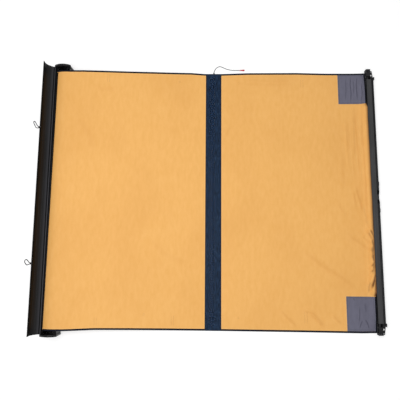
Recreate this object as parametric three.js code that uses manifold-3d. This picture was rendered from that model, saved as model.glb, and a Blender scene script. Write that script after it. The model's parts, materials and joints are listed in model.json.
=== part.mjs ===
// Vehicle side awning laid out flat on the floor: an open case, the canopy with its light sleeve, and a front
// bar that holds two folded legs and two folded arms. The canopy's underside faces up.
// Millimetres. +X runs out from the vehicle, +Y along the case, +Z up.
// The origin is the middle of the case's vehicle face, which lies on the floor.
import * as THREE from "three";
import { mergeVertices } from "three/addons/utils/BufferGeometryUtils.js";
import Module from "manifold-3d";

const wasm = await Module();
wasm.setup();

// Fits and cutting
const gap = 0.3; // between pieces that touch
const overrun = 5; // how far a cutter passes the face that it cuts
const weld = 0.001; // vertices closer than this are one

// Case extrusion
const caseMargin = 29; // from the canopy's hem to the end cap
const caseWidth = 118;
const hingeWallHeight = 96;
const lipDrop = 6; // how much lower the lip wall is
const wall = 3;
const lipRadius = 3.2;
const lipInset = 1.8; // lip centre from the outer face
const slotPitch = 60; // between the two T-slots in the vehicle face
const slotMouth = 8.5;
const slotWidth = 16;
const slotDepth = 7;
const bossRadius = 4.5; // screw bosses in the floor corners
const bossBore = 1.8;
const bossInset = 9.5; // boss centre from the outer faces

// Lid hinge
const hingeInset = 2; // hinge line from the outer face
const hingeRise = 4; // hinge line above the wall
const knuckleRadius = 5.4;
const knuckleBore = 3.6;
const hingeBeadRadius = 3.2;
const knuckleOpenFrom = THREE.MathUtils.degToRad(20);
const knuckleOpenTo = THREE.MathUtils.degToRad(174);

// Lid
const lidOverhang = 4; // of its tip past the lip wall
const lidRise = 23; // height of the lid's arch over its chord
const lidWall = 2.2;
const lidEndGap = 2; // to the end cap
const lidTipRadius = 2.4;
const lidOpenAngle = THREE.MathUtils.degToRad(114); // chord above +X, as the lid stands open
const lidClosedAngle = THREE.MathUtils.degToRad(-1);
const sealHeight = 3.5;
const sealFromTip = 11.5; // along the arch
const sealWidth = 8.5;
const eyeletFromTip = 6.9; // along the arch
const eyeletRadius = 4;
const eyeletThickness = 1.2;
const eyeletBore = 2.25;
const eyeletSpacing = 1033;
const eyeletShift = -7.5; // the pair's middle along the case

// End caps
const capThickness = 14.7;
const capOverhang = 1.5; // past the case's faces
const capDomeMargin = 2.6; // outside the closed lid
const capLipOverhang = 3; // past the lip wall
const capRim = 4;
const capRecess = 5;

// Arm sockets in the case's mouth
const socketClearance = 2; // from the hem
const socketWidth = 24.5;
const socketHeight = 36;
const socketBelowLip = 4;
const socketBore = 8.5;
const socketBoreDepth = 26;

// Canopy
const canopyWidth = 2032;
const canopyReach = 2437; // from the origin to the bar's back edge
const sheet = 1.6;
const hemWidth = 14;
const hemThickness = 2.6;
const restGap = 0.1; // between the hem and the floor
const dropSpan = 1240; // from the lip to where the canopy meets the floor
const dropPower = 1.6;
const bendPower = 1.3; // above 1, the canopy's bends crowd towards the lip
const crown = 4; // how far the canopy arches between its track and the lip
const barRiseSpan = 22; // where the canopy climbs to the bar's track
const kederRadius = 2.8;
const trackDrop = 14; // track centre below the top of the hinge wall
const trackRadius = 5.9;
const trackSink = 0.4; // how far the track's round lies in the wall
const trackBore = 3.4;
const trackOpenFrom = THREE.MathUtils.degToRad(-12);
const trackOpenTo = THREE.MathUtils.degToRad(57);

// Light sleeve
const sleeveCentre = 1220;
const sleeveWidth = 126;
const sleeveThickness = 2;
const ledWidth = 12;
const ledThickness = 2;
const ledShift = -11; // from the sleeve's middle
const windowWidth = 44;
const windowThickness = 0.8;
const windowEndInset = 30;
const glandShift = 2; // from the sleeve's middle
const glandWidth = 10;
const glandLength = 7.7;
const glandHeight = 6.2;

// Corner patches
const patchLength = 207; // along the canopy's reach
const patchWidth = 248;
const patchThickness = 1;
const bindingWidth = 9;

// Front bar extrusion
const barInset = 71; // from the canopy's hem to the extrusion's end
const barFloor = 2.5;
const laneClearance = 0.5; // around the poles' locks
const laneSide = 1; // beside the arms' locks, and under the legs'
const armInset = 1.5; // from the bar's back edge to the arms' locks
const webWidth = 8.5; // hollow web between the arms' lane and the legs'
const webWall = 2;
const barLipHeight = 8;
const barLipWall = 2;
const barTrackWidth = 9.5;
const barTrackHeight = 9;
const barTrackCentre = 5; // from the back edge
const barTrackRise = 4.7;
const barTrackBore = 3.1;
const barTrackMouth = 2.4;
const barKederRadius = 2.6;
const grooveWidth = 2;
const grooveDepth = 0.6;
const grooveInset = 6;

// Poles
const outerTube = 11; // radii
const middleTube = 9.2;
const innerTube = 7.5;
const tubeWall = 1.2;
const lockRadius = 13.5;
const lowerLockRadius = 12;
const lockGrip = 14; // the part of a lock that holds the wider tube
const lockNeck = 16; // the part that stands past it
const lockClearance = 2; // between folded locks and end pieces
const knuckle = 12.5; // radius of the pivot end
const knuckleOverlap = 9; // how far a tube's end lies inside its pivot end
const knuckleClearance = 1.5; // between the pivot end and the tubes inside
const pinRadius = 3;
const pinHeadRadius = 5;
const pinHead = 2.4;
const legEnd = 22; // folded foot to the middle of the bar
const footRadius = 10.5;
const footSleeveRadius = 12;
const footLength = 32;
const footGrip = 18;
const armEnd = 20;
const plugRadius = 7;
const plugSleeveRadius = 9.8;
const plugLength = 38;
const plugGrip = 16;

// Bar brackets
const bracketLength = 85;
const bracketFloor = 4;
const bracketWall = 3.5;
const bracketTop = 4;
const bracketEndWall = 4;
const bracketShoulder = 27; // length of the full-width part past the bar
const bracketNose = 57; // width of the nose at the far end
const housingLength = 60; // of the arm pivot's housing, from the far end
const guyX = 49; // from the bar's back edge
const guyFromEnd = 38.5;
const guyRadius = 8;
const guyBoss = 11.5;
const guyBossHeight = 8.5;
const earThickness = 3.2;
const pivotClearance = 1.5; // from the arm's pivot end to the bracket's end wall

// Light lead and pull loops
const leadRadius = 2.5;
const loopRadius = 2.8;
const plugBodyRadius = 4.6;
const plugCollarRadius = 6;
const plugCollarLength = 12;
const connectorLength = 39;

// Roundness
const fine = 24;
const coarse = 16;
const cordSides = 8;
const cordStep = 2; // in diameters
const archSteps = 14;
const domeSteps = 22;
const dropSteps = 14;
const tailSteps = 8;
const sealSteps = 2;

// Routes of the cords, point by point
const leadRoute = [
  [1222, 1024.3, 3.5],
  [1222.3, 1028.5, 3.5],
  [1224.5, 1037, 3.2],
  [1231, 1053, 2.9],
  [1243, 1068, 2.8],
  [1257, 1077.5, 2.8],
  [1272, 1080, 2.8],
  [1289, 1075, 2.8],
  [1306, 1066.5, 2.8],
  [1324, 1058.5, 2.8],
  [1348, 1051.5, 2.8],
  [1375, 1047.5, 3.4],
  [1405, 1045.5, 5.2],
  [1432, 1045, 6.1],
];
const leftLoopRoute = [
  [-110, 511.75, 203.4],
  [-118, 512, 204],
  [-130, 522, 200],
  [-145, 542, 191],
  [-158, 559, 184],
  [-167, 563, 180],
  [-169, 554, 180],
  [-156, 529, 187],
  [-139, 506, 197],
  [-122, 501.5, 203.2],
  [-110, 505.25, 203.4],
];
const rightLoopRoute = [
  [-110, -520.75, 203.4],
  [-124, -518.5, 202.5],
  [-139, -505, 196],
  [-153, -496, 190],
  [-165, -500, 185],
  [-169, -511, 183],
  [-163, -524, 184],
  [-150, -535, 189],
  [-137, -533, 196],
  [-123, -528, 202.5],
  [-110, -527.25, 203.4],
];

// Derived places
const halfCanopy = canopyWidth / 2;
const hemInner = halfCanopy - hemWidth;
const halfCase = halfCanopy + caseMargin;
const caseFace = caseWidth / 2;
const lipWallHeight = hingeWallHeight - lipDrop;
const lidChord = caseWidth - hingeInset + lidOverhang;
const hingeX = -caseFace + hingeInset;
const hingeZ = hingeWallHeight + hingeRise;
const lidRadius = ((lidChord / 2) ** 2 + lidRise ** 2) / (2 * lidRise);
const lidHalfTurn = Math.asin(lidChord / 2 / lidRadius);
const lidCentre = new THREE.Vector2(lidChord / 2, lidRise - lidRadius);
const lipX = caseFace - lipInset;
const trackX = -caseFace + wall + trackRadius - trackSink;
const trackZ = hingeWallHeight - trackDrop;
const restZ = restGap + hemThickness / 2;
const lipZ = lipWallHeight + lipRadius + gap + hemThickness / 2;
const sleeveFrom = sleeveCentre - sleeveWidth / 2;
const sleeveTo = sleeveCentre + sleeveWidth / 2;
const barRiseFrom = canopyReach - barRiseSpan;
const halfBar = halfCanopy - barInset;
const armAxisX = armInset + lockRadius;
const armAxisZ = barTrackHeight + laneClearance + lockRadius;
const barHeight = armAxisZ + lockRadius + laneClearance + barFloor;
const laneWidth = armAxisX + lockRadius + laneSide;
const webTo = laneWidth + webWidth;
const legAxisX = webTo + laneClearance + lockRadius;
const legAxisZ = barFloor + laneSide + lockRadius;
const barWidth = legAxisX + outerTube + barLipWall;
const earLength = 2 * knuckle;
const earHeight = legAxisZ + outerTube;
const legPivotY = halfBar + gap + knuckle;
const bracketEnd = halfBar + bracketLength;
const armPivotY = bracketEnd - bracketEndWall - pivotClearance - knuckle;
const armKnuckleHeight = 2 * (lockRadius - gap);
const guyY = bracketEnd - guyFromEnd;

// Height of the canopy's middle layer over the floor, at a distance out from the origin.
function sheetZ(x) {
  if (x < lipX) {
    const t = (lipX - x) / (lipX - trackX);
    return lipZ - (lipZ - trackZ) * t ** 3 + 4 * crown * t * (1 - t);
  }
  const left = Math.max(0, 1 - (x - lipX) / dropSpan);
  const rise = Math.max(0, (x - barRiseFrom) / barRiseSpan);
  return restZ + (lipZ - restZ) * left ** dropPower + (barTrackRise - restZ) * Math.min(1, rise);
}

// Finishes
function finish(color, roughness, metalness) {
  return new THREE.MeshStandardMaterial({ color, roughness, metalness });
}
const anodised = () => finish(0x303132, 0.45, 0.7);
const tubeMetal = () => finish(0x47484a, 0.35, 0.8);
const steel = () => finish(0xb9bcc0, 0.3, 0.9);
const blackPlastic = () => finish(0x18181a, 0.55, 0);
const rubber = () => finish(0x131314, 0.85, 0);
const canvas = () => finish(0xecaf62, 0.85, 0);
const hemTape = () => finish(0x171a22, 0.8, 0);
const navyCanvas = () => finish(0x22304a, 0.6, 0);
const greyCanvas = () => finish(0x676670, 0.85, 0);
const ledStrip = () => finish(0xd9d6c4, 0.5, 0);
const film = () => finish(0x2c3c5c, 0.2, 0);
const cord = () => finish(0x1c1c1e, 0.8, 0);
const greyCable = () => finish(0x8a8c90, 0.5, 0);
const redPlastic = () => finish(0xc9282c, 0.4, 0);

// A closed geometry as a solid that can be cut and joined.
function solid(geometry) {
  const bare = geometry.index ? geometry.toNonIndexed() : geometry.clone();
  bare.deleteAttribute("normal");
  bare.deleteAttribute("uv");
  const merged = mergeVertices(bare, weld);
  const vertProperties = merged.attributes.position.array;
  const triVerts = new Uint32Array(merged.index.array);
  return new wasm.Manifold(new wasm.Mesh({ numProp: 3, vertProperties, triVerts }));
}

// A solid as a three.js geometry.
function geometryOf(body) {
  const mesh = body.getMesh();
  const geometry = new THREE.BufferGeometry();
  geometry.setAttribute("position", new THREE.BufferAttribute(mesh.vertProperties, mesh.numProp));
  geometry.setIndex(new THREE.BufferAttribute(mesh.triVerts, 1));
  geometry.computeVertexNormals();
  return geometry;
}

// Joins the first list of geometries and cuts the second list from them.
function build(added, cut = []) {
  const joined = added.map(solid).reduce((a, b) => a.add(b));
  return geometryOf(cut.map(solid).reduce((a, b) => a.subtract(b), joined));
}

// An outline in X and Z, run along Y.
function prism(outline, from, to, holes = []) {
  const shape = outline instanceof THREE.Shape ? outline : new THREE.Shape(outline);
  shape.holes.push(...holes);
  const geometry = new THREE.ExtrudeGeometry(shape, {
    depth: to - from,
    bevelEnabled: false,
    curveSegments: fine / 2,
  });
  return geometry.rotateX(Math.PI / 2).translate(0, to, 0);
}

// A plate with an outline in X and Y, run upwards.
function plate(outline, from, to) {
  const shape = new THREE.Shape(outline);
  const geometry = new THREE.ExtrudeGeometry(shape, { depth: to - from, bevelEnabled: false });
  return geometry.translate(0, 0, from);
}

function block(x0, x1, y0, y1, z0, z1) {
  const geometry = new THREE.BoxGeometry(x1 - x0, y1 - y0, z1 - z0);
  return geometry.translate((x0 + x1) / 2, (y0 + y1) / 2, (z0 + z1) / 2);
}

// Rods along each axis, centred on the two given places.
function rodY(x, z, radius, from, to, sides = fine) {
  const geometry = new THREE.CylinderGeometry(radius, radius, to - from, sides);
  return geometry.translate(x, (from + to) / 2, z);
}
function rodZ(x, y, radius, from, to, sides = fine) {
  const geometry = new THREE.CylinderGeometry(radius, radius, to - from, sides);
  return geometry.rotateX(Math.PI / 2).translate(x, y, (from + to) / 2);
}
function rodX(y, z, radius, from, to, sides = fine) {
  const geometry = new THREE.CylinderGeometry(radius, radius, to - from, sides);
  return geometry.rotateZ(Math.PI / 2).translate((from + to) / 2, y, z);
}

// A turned piece about the Y axis. The profile lists radius and place, clockwise, and closes on itself or on
// the axis.
function turned(profile, sides = coarse) {
  const points = profile.map(([radius, y]) => new THREE.Vector2(radius, y)).reverse();
  return new THREE.LatheGeometry(points, sides);
}

// A pie slice in X and Z that opens a round track between two angles.
function wedge(x, z, radius, fromAngle, toAngle) {
  const points = [new THREE.Vector2(x, z)];
  const middle = (fromAngle + toAngle) / 2;
  for (const angle of [fromAngle, middle, toAngle]) {
    points.push(new THREE.Vector2(x + radius * Math.cos(angle), z + radius * Math.sin(angle)));
  }
  return points;
}

// A band of an arc in X and Z, between two radii and two angles.
function arcBand(centre, inner, outer, fromAngle, toAngle, steps) {
  const at = (radius, share) => {
    const angle = fromAngle + (toAngle - fromAngle) * share;
    return new THREE.Vector2(centre.x + radius * Math.cos(angle), centre.y + radius * Math.sin(angle));
  };
  const shares = Array.from({ length: steps + 1 }, (_, i) => i / steps);
  const rim = shares.map((share) => at(outer, share));
  const back = shares.map((share) => at(inner, share)).reverse();
  return [...rim, ...back];
}

// Height of the light sleeve's middle layer, which is flat between its two edges.
function sleeveZ(x) {
  const share = (x - sleeveFrom) / sleeveWidth;
  return sheetZ(sleeveFrom) * (1 - share) + sheetZ(sleeveTo) * share;
}

// A strip of cloth through the given distances out, at the height that a function gives, lifted by an offset.
function cloth(places, thickness, fromY, toY, lift = 0, height = sheetZ) {
  const upper = places.map((x) => new THREE.Vector2(x, height(x) + lift + thickness / 2));
  const lower = places.map((x) => new THREE.Vector2(x, height(x) + lift - thickness / 2)).reverse();
  return prism([...lower, ...upper], fromY, toY);
}

// Distances out where a strip of cloth bends, between its two ends.
function bends(fromX, toX) {
  const tail = Array.from({ length: tailSteps }, (_, i) => trackX + ((lipX - trackX) * i) / tailSteps);
  const drop = Array.from({ length: dropSteps + 1 }, (_, i) => {
    return lipX + dropSpan * (i / dropSteps) ** bendPower;
  });
  const inner = [...tail, ...drop, barRiseFrom].filter((x) => x > fromX + overrun && x < toX - overrun);
  return [fromX, ...inner, toX];
}

// A round cord along a hand-laid route.
function cordAlong(route, radius) {
  const path = new THREE.CatmullRomCurve3(route.map((point) => new THREE.Vector3(...point)));
  const steps = Math.ceil(path.getLength() / (cordStep * 2 * radius));
  const corners = Array.from({ length: cordSides }, (_, i) => {
    const angle = (2 * Math.PI * i) / cordSides;
    return new THREE.Vector2(radius * Math.cos(angle), radius * Math.sin(angle));
  });
  return new THREE.ExtrudeGeometry(new THREE.Shape(corners), { steps, extrudePath: path });
}

const awning = new THREE.Group();
const lidGroup = new THREE.Group();
const barGroup = new THREE.Group();
const sides = { left: new THREE.Group(), right: new THREE.Group() };
const barSides = { left: new THREE.Group(), right: new THREE.Group() };
sides.right.scale.y = -1;
barSides.right.scale.y = -1;
lidGroup.position.set(hingeX, 0, hingeZ);
lidGroup.rotation.y = -lidOpenAngle;
barGroup.position.x = canopyReach;
barGroup.add(barSides.left, barSides.right);
awning.add(lidGroup, barGroup, sides.left, sides.right);

function piece(parent, name, geometry, material) {
  const mesh = new THREE.Mesh(geometry, material);
  mesh.name = name;
  parent.add(mesh);
  return mesh;
}

// Case extrusion: floor, two walls, T-slots, hinge knuckle, canopy track, lip and screw bosses
function caseExtrusion() {
  const along = [-halfCase, halfCase];
  const past = [-halfCase - overrun, halfCase + overrun];
  const joined = [
    block(-caseFace, caseFace, ...along, 0, wall),
    block(-caseFace, -caseFace + wall, ...along, 0, hingeWallHeight),
    block(caseFace - wall, caseFace, ...along, 0, lipWallHeight),
    rodY(lipX, lipWallHeight, lipRadius, ...along),
    rodY(hingeX, hingeZ, knuckleRadius, ...along),
    rodY(trackX, trackZ, trackRadius, ...along),
  ];
  const cut = [
    rodY(hingeX, hingeZ, knuckleBore, ...past),
    prism(wedge(hingeX, hingeZ, knuckleRadius + overrun, knuckleOpenFrom, knuckleOpenTo), ...past),
    rodY(trackX, trackZ, trackBore, ...past),
    prism(wedge(trackX, trackZ, trackRadius + overrun, trackOpenFrom, trackOpenTo), ...past),
  ];
  for (const x of [-slotPitch / 2, slotPitch / 2]) {
    joined.push(block(x - slotWidth / 2 - wall, x + slotWidth / 2 + wall, ...along, 0, 2 * wall + slotDepth));
    cut.push(block(x - slotWidth / 2, x + slotWidth / 2, ...past, wall, wall + slotDepth));
    cut.push(block(x - slotMouth / 2, x + slotMouth / 2, ...past, -overrun, wall + slotDepth / 2));
  }
  for (const x of [-caseFace + bossInset, caseFace - bossInset]) {
    joined.push(rodY(x, bossInset - bossRadius / 2, bossRadius, ...along, coarse));
    cut.push(rodY(x, bossInset - bossRadius / 2, bossBore, ...past, coarse));
  }
  piece(awning, "case_extrusion", build(joined, cut), anodised());
}

// The end cap's outline, set in from its edge by an inset
function capOutline(inset) {
  const closedCentre = lidCentre.clone().rotateAround(new THREE.Vector2(), lidClosedAngle);
  const centre = closedCentre.add(new THREE.Vector2(hingeX, hingeZ));
  const radius = lidRadius + lidWall / 2 + capDomeMargin - inset;
  const left = -caseFace - capOverhang + inset;
  const right = caseFace + capLipOverhang - inset;
  const knuckleEdge = hingeX - knuckleRadius - capOverhang + inset;
  const lidEdge = hingeX + lidChord + lidTipRadius + capOverhang - inset;
  const fromAngle = Math.acos((knuckleEdge - centre.x) / radius);
  const toAngle = Math.acos((lidEdge - centre.x) / radius);
  const points = [
    new THREE.Vector2(left, inset),
    new THREE.Vector2(right, inset),
    new THREE.Vector2(right, lipWallHeight - lipRadius),
  ];
  for (let i = 0; i <= domeSteps; i += 1) {
    const angle = toAngle + ((fromAngle - toAngle) * i) / domeSteps;
    points.push(new THREE.Vector2(centre.x + radius * Math.cos(angle), centre.y + radius * Math.sin(angle)));
  }
  points.push(new THREE.Vector2(left, hingeWallHeight - hingeRise));
  return points;
}

function endCap(side, parent) {
  const from = halfCase + gap;
  const to = from + capThickness;
  const shell = prism(capOutline(0), from, to);
  const recess = prism(capOutline(capRim), to - capRecess, to + overrun);
  piece(parent, `end_cap_${side}`, build([shell], [recess]), blackPlastic());
}

// Socket in the mouth that takes an arm's end plug
function armSocket(side, parent) {
  const right = caseFace - wall - gap;
  const top = lipWallHeight - socketBelowLip;
  const from = halfCanopy + socketClearance;
  const body = block(right - socketWidth, right, from, halfCase, top - socketHeight, top);
  const centreX = right - socketWidth / 2;
  const centreY = (from + halfCase) / 2;
  const bore = rodZ(centreX, centreY, socketBore, top - socketBoreDepth, top + overrun);
  piece(parent, `arm_socket_${side}`, build([body], [bore]), blackPlastic());
}

// Lid: an arched wall with a hinge bead on one edge and a rolled tip on the other, its chord along X
function lid() {
  const from = -halfCase + lidEndGap;
  const to = halfCase - lidEndGap;
  const startAngle = Math.PI / 2 + lidHalfTurn;
  const endAngle = Math.PI / 2 - lidHalfTurn;
  const inner = lidRadius - lidWall / 2;
  const outer = lidRadius + lidWall / 2;
  const arch = prism(arcBand(lidCentre, inner, outer, endAngle, startAngle, archSteps), from, to);
  const joined = [
    arch,
    rodY(0, 0, hingeBeadRadius, from, to),
    rodY(lidChord, 0, lidTipRadius, from, to, coarse),
  ];
  const eyeletAngle = endAngle + eyeletFromTip / lidRadius;
  const holes = [];
  for (const direction of [-1, 1]) {
    const y = eyeletShift + (direction * eyeletSpacing) / 2;
    const through = rodZ(0, 0, eyeletBore, inner - overrun, outer + overrun, coarse);
    through.rotateY(Math.PI / 2 - eyeletAngle).translate(lidCentre.x, y, lidCentre.y);
    holes.push(through);
  }
  piece(lidGroup, "lid_extrusion", build(joined, holes), anodised());

  const sealFrom = endAngle + sealFromTip / lidRadius;
  const sealTo = sealFrom + sealWidth / lidRadius;
  const sealOuter = inner - gap;
  const seal = arcBand(lidCentre, sealOuter - sealHeight, sealOuter, sealFrom, sealTo, sealSteps);
  piece(lidGroup, "lid_seal", prism(seal, from, to), rubber());

  for (const [side, direction] of [["left", 1], ["right", -1]]) {
    const y = eyeletShift + (direction * eyeletSpacing) / 2;
    const top = inner - gap;
    const ring = build(
      [rodZ(0, 0, eyeletRadius, top - eyeletThickness, top, coarse)],
      [rodZ(0, 0, eyeletBore, top - eyeletThickness - overrun, top + overrun, coarse)],
    );
    ring.rotateY(Math.PI / 2 - eyeletAngle).translate(lidCentre.x, y, lidCentre.y);
    piece(lidGroup, `pull_eyelet_${side}`, ring, steel());
  }
}

// Canopy: two panels, their hems, and the keder rods in the tracks at both ends
function canopy() {
  const rearFrom = trackX + kederRadius + gap;
  const rearTo = sleeveFrom - gap;
  const frontFrom = sleeveTo + gap;
  const frontTo = canopyReach - gap;
  const panelEdge = hemInner - gap;
  const rear = cloth(bends(rearFrom, rearTo), sheet, -panelEdge, panelEdge);
  const front = cloth(bends(frontFrom, frontTo), sheet, -panelEdge, panelEdge);
  piece(awning, "canopy_panel_rear", rear, canvas());
  piece(awning, "canopy_panel_front", front, canvas());
  const hemFrom = trackX + trackRadius + gap;
  for (const [side, parent] of Object.entries(sides)) {
    for (const [end, from, to] of [["rear", hemFrom, rearTo], ["front", frontFrom, frontTo]]) {
      const hem = cloth(bends(from, to), hemThickness, hemInner, halfCanopy);
      piece(parent, `hem_${end}_${side}`, hem, hemTape());
    }
  }
  const rearKeder = rodY(trackX, trackZ, kederRadius, -halfCanopy, halfCanopy, coarse);
  piece(awning, "keder_rear", rearKeder, hemTape());
  const barKederEnd = halfBar - gap;
  const frontKeder = build([
    rodY(barTrackCentre, barTrackRise, barKederRadius, -barKederEnd, barKederEnd, coarse),
    block(0, barTrackCentre, -barKederEnd, barKederEnd, barTrackRise - sheet / 2, barTrackRise + sheet / 2),
  ]);
  piece(barGroup, "keder_front", frontKeder, hemTape());
}

// Light sleeve across the canopy, with an LED strip under a clear window and the lead's gland at one end
function lightSleeve() {
  const sleeve = cloth([sleeveFrom, sleeveTo], sleeveThickness, -halfCanopy, halfCanopy);
  piece(awning, "light_sleeve", sleeve, navyCanvas());
  const windowEnd = halfCanopy - windowEndInset;
  const ledMiddle = sleeveCentre + ledShift;
  const ledLift = sleeveThickness / 2 + gap + ledThickness / 2;
  const ledFrom = ledMiddle - ledWidth / 2;
  const ledTo = ledMiddle + ledWidth / 2;
  const strip = cloth([ledFrom, ledTo], ledThickness, -windowEnd, windowEnd, ledLift, sleeveZ);
  piece(awning, "led_strip", strip, ledStrip());
  const windowLift = ledLift + ledThickness / 2 + gap + windowThickness / 2;
  const windowFrom = ledMiddle - windowWidth / 2;
  const windowTo = ledMiddle + windowWidth / 2;
  const pane = cloth([windowFrom, windowTo], windowThickness, -windowEnd, windowEnd, windowLift, sleeveZ);
  piece(awning, "light_window", pane, film());
  const glandX = sleeveCentre + glandShift;
  const glandFrom = halfCanopy + gap;
  const glandBottom = sleeveZ(glandX) - sleeveThickness / 2;
  const gland = block(
    glandX - glandWidth / 2,
    glandX + glandWidth / 2,
    glandFrom,
    glandFrom + glandLength,
    glandBottom,
    glandBottom + glandHeight,
  );
  piece(awning, "lead_gland", gland, blackPlastic());
}

// Light lead with its connector, and the cords that pull the lid
function cords() {
  piece(awning, "light_lead", cordAlong(leadRoute, leadRadius), greyCable());
  const [endX, endY, endZ] = leadRoute[leadRoute.length - 1];
  const start = endX + gap;
  const body = rodX(endY, endZ, plugBodyRadius, start, start + connectorLength, coarse);
  const collarEnd = start + connectorLength;
  const collar = rodX(endY, endZ, plugCollarRadius, collarEnd - plugCollarLength, collarEnd, coarse);
  piece(awning, "light_connector", build([body, collar]), redPlastic());
  piece(awning, "pull_loop_left", cordAlong(leftLoopRoute, loopRadius), cord());
  piece(awning, "pull_loop_right", cordAlong(rightLoopRoute, loopRadius), cord());
}

// Corner patch on the canopy, and the dark binding between it and the bar
function cornerPatch(side, parent) {
  const bindingTo = canopyReach - gap;
  const bindingFrom = bindingTo - bindingWidth;
  const patchTo = bindingFrom - gap;
  const patchFrom = patchTo - patchLength;
  const lift = sheet / 2 + gap + patchThickness / 2;
  const inner = hemInner - gap - patchWidth;
  const outer = hemInner - gap;
  const patch = cloth([patchFrom, patchTo], patchThickness, inner, outer, lift);
  piece(parent, `corner_patch_${side}`, patch, greyCanvas());
  const strip = cloth([bindingFrom, bindingTo], patchThickness, inner, outer, lift);
  piece(parent, `patch_binding_${side}`, strip, hemTape());
}

// Front bar: floor, canopy track, arm lane under a top wall, hollow web, open leg lane with a low lip
function barExtrusion() {
  const along = [-halfBar, halfBar];
  const past = [-halfBar - overrun, halfBar + overrun];
  const top = barHeight - barFloor;
  const joined = [
    block(0, barWidth, ...along, 0, barFloor),
    block(0, barTrackWidth, ...along, 0, barTrackHeight),
    block(laneWidth, webTo, ...along, 0, barHeight),
    block(0, webTo, ...along, top, barHeight),
    block(barWidth - barLipWall, barWidth, ...along, 0, barLipHeight),
  ];
  const trackMouthFrom = barTrackRise - barTrackMouth / 2;
  const cut = [
    rodY(barTrackCentre, barTrackRise, barTrackBore, ...past, coarse),
    block(-overrun, barTrackCentre, ...past, trackMouthFrom, trackMouthFrom + barTrackMouth),
    block(laneWidth + webWall, webTo - webWall, ...past, barFloor, top),
  ];
  for (const x of [grooveInset, webTo - grooveInset - grooveWidth]) {
    cut.push(block(x, x + grooveWidth, ...past, barHeight - grooveDepth, barHeight + overrun));
  }
  piece(barGroup, "bar_extrusion", build(joined, cut), anodised());
}

// End bracket: floor with the guy rope's hole, ears for the leg pivot, housing for the arm pivot
function barBracket(side, parent) {
  const from = halfBar + gap;
  const wallTo = laneWidth + bracketWall;
  const housingFrom = bracketEnd - housingLength;
  const padTop = armAxisZ - armKnuckleHeight / 2 - gap;
  const roof = armAxisZ + armKnuckleHeight / 2 + gap;
  const innerEarTo = legAxisX - outerTube - gap;
  const outerEarFrom = legAxisX + outerTube + gap;
  const earTo = from + earLength;
  const floor = plate(
    [
      new THREE.Vector2(0, from),
      new THREE.Vector2(barWidth, from),
      new THREE.Vector2(barWidth, from + bracketShoulder),
      new THREE.Vector2(bracketNose, bracketEnd),
      new THREE.Vector2(0, bracketEnd),
    ],
    0,
    bracketFloor,
  );
  const joined = [
    floor,
    rodZ(guyX, guyY, guyBoss, 0, guyBossHeight),
    block(0, wallTo, housingFrom, bracketEnd, 0, padTop),
    block(laneWidth, wallTo, from, bracketEnd, 0, roof + bracketTop),
    block(0, wallTo, housingFrom, bracketEnd, roof, roof + bracketTop),
    block(0, wallTo, bracketEnd - bracketEndWall, bracketEnd, 0, roof + bracketTop),
    block(innerEarTo - earThickness, innerEarTo, from, earTo, 0, earHeight),
    block(outerEarFrom, outerEarFrom + earThickness, from, earTo, 0, earHeight),
  ];
  const cut = [
    rodZ(guyX, guyY, guyRadius, -overrun, guyBossHeight + overrun),
    rodX(legPivotY, legAxisZ, pinRadius + gap, laneWidth + bracketWall, barWidth + overrun, coarse),
    rodZ(armAxisX, armPivotY, pinRadius + gap, -overrun, roof + bracketTop + overrun, coarse),
  ];
  piece(parent, `bar_bracket_${side}`, build(joined, cut), blackPlastic());

  const legPinFrom = innerEarTo - earThickness;
  const legPinTo = outerEarFrom + earThickness + gap;
  const legPin = build([
    rodX(legPivotY, legAxisZ, pinRadius, legPinFrom, legPinTo + pinHead, coarse),
    rodX(legPivotY, legAxisZ, pinHeadRadius, legPinTo, legPinTo + pinHead, coarse),
  ]);
  piece(parent, `leg_pin_${side}`, legPin, steel());
  const armPinTo = roof + bracketTop + gap;
  const armPin = build([
    rodZ(armAxisX, armPivotY, pinRadius, gap, armPinTo + pinHead, coarse),
    rodZ(armAxisX, armPivotY, pinHeadRadius, armPinTo, armPinTo + pinHead, coarse),
  ]);
  piece(parent, `arm_pin_${side}`, armPin, steel());
}

// A tube about the Y axis between two places
function tubeProfile(radius, from, to) {
  const bore = radius - tubeWall;
  return [[bore, from], [bore, to], [radius, to], [radius, from], [bore, from]];
}

// A twist lock at the end of a wider tube: its grip holds that tube, its neck the tube that slides in it
function lockProfile(radius, wide, narrow, end) {
  const from = end - lockNeck;
  const to = end + lockGrip;
  const neck = narrow + gap;
  const grip = wide + gap;
  const step = end - gap;
  return [[neck, from], [neck, step], [grip, step], [grip, to], [radius, to], [radius, from], [neck, from]];
}

// An end piece: a nose on the axis with a sleeve around the tube's end
function nosePieceProfile(tip, tubeEnd, nose) {
  const seat = tubeEnd - gap;
  const shoulder = tubeEnd - 2 * gap;
  const bore = innerTube + gap;
  const top = tubeEnd + nose.grip;
  return [
    [0, seat],
    [bore, seat],
    [bore, top],
    [nose.sleeveRadius, top],
    [nose.sleeveRadius, shoulder],
    [nose.radius, shoulder],
    [nose.radius, tip],
    [0, tip],
  ];
}

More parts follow.
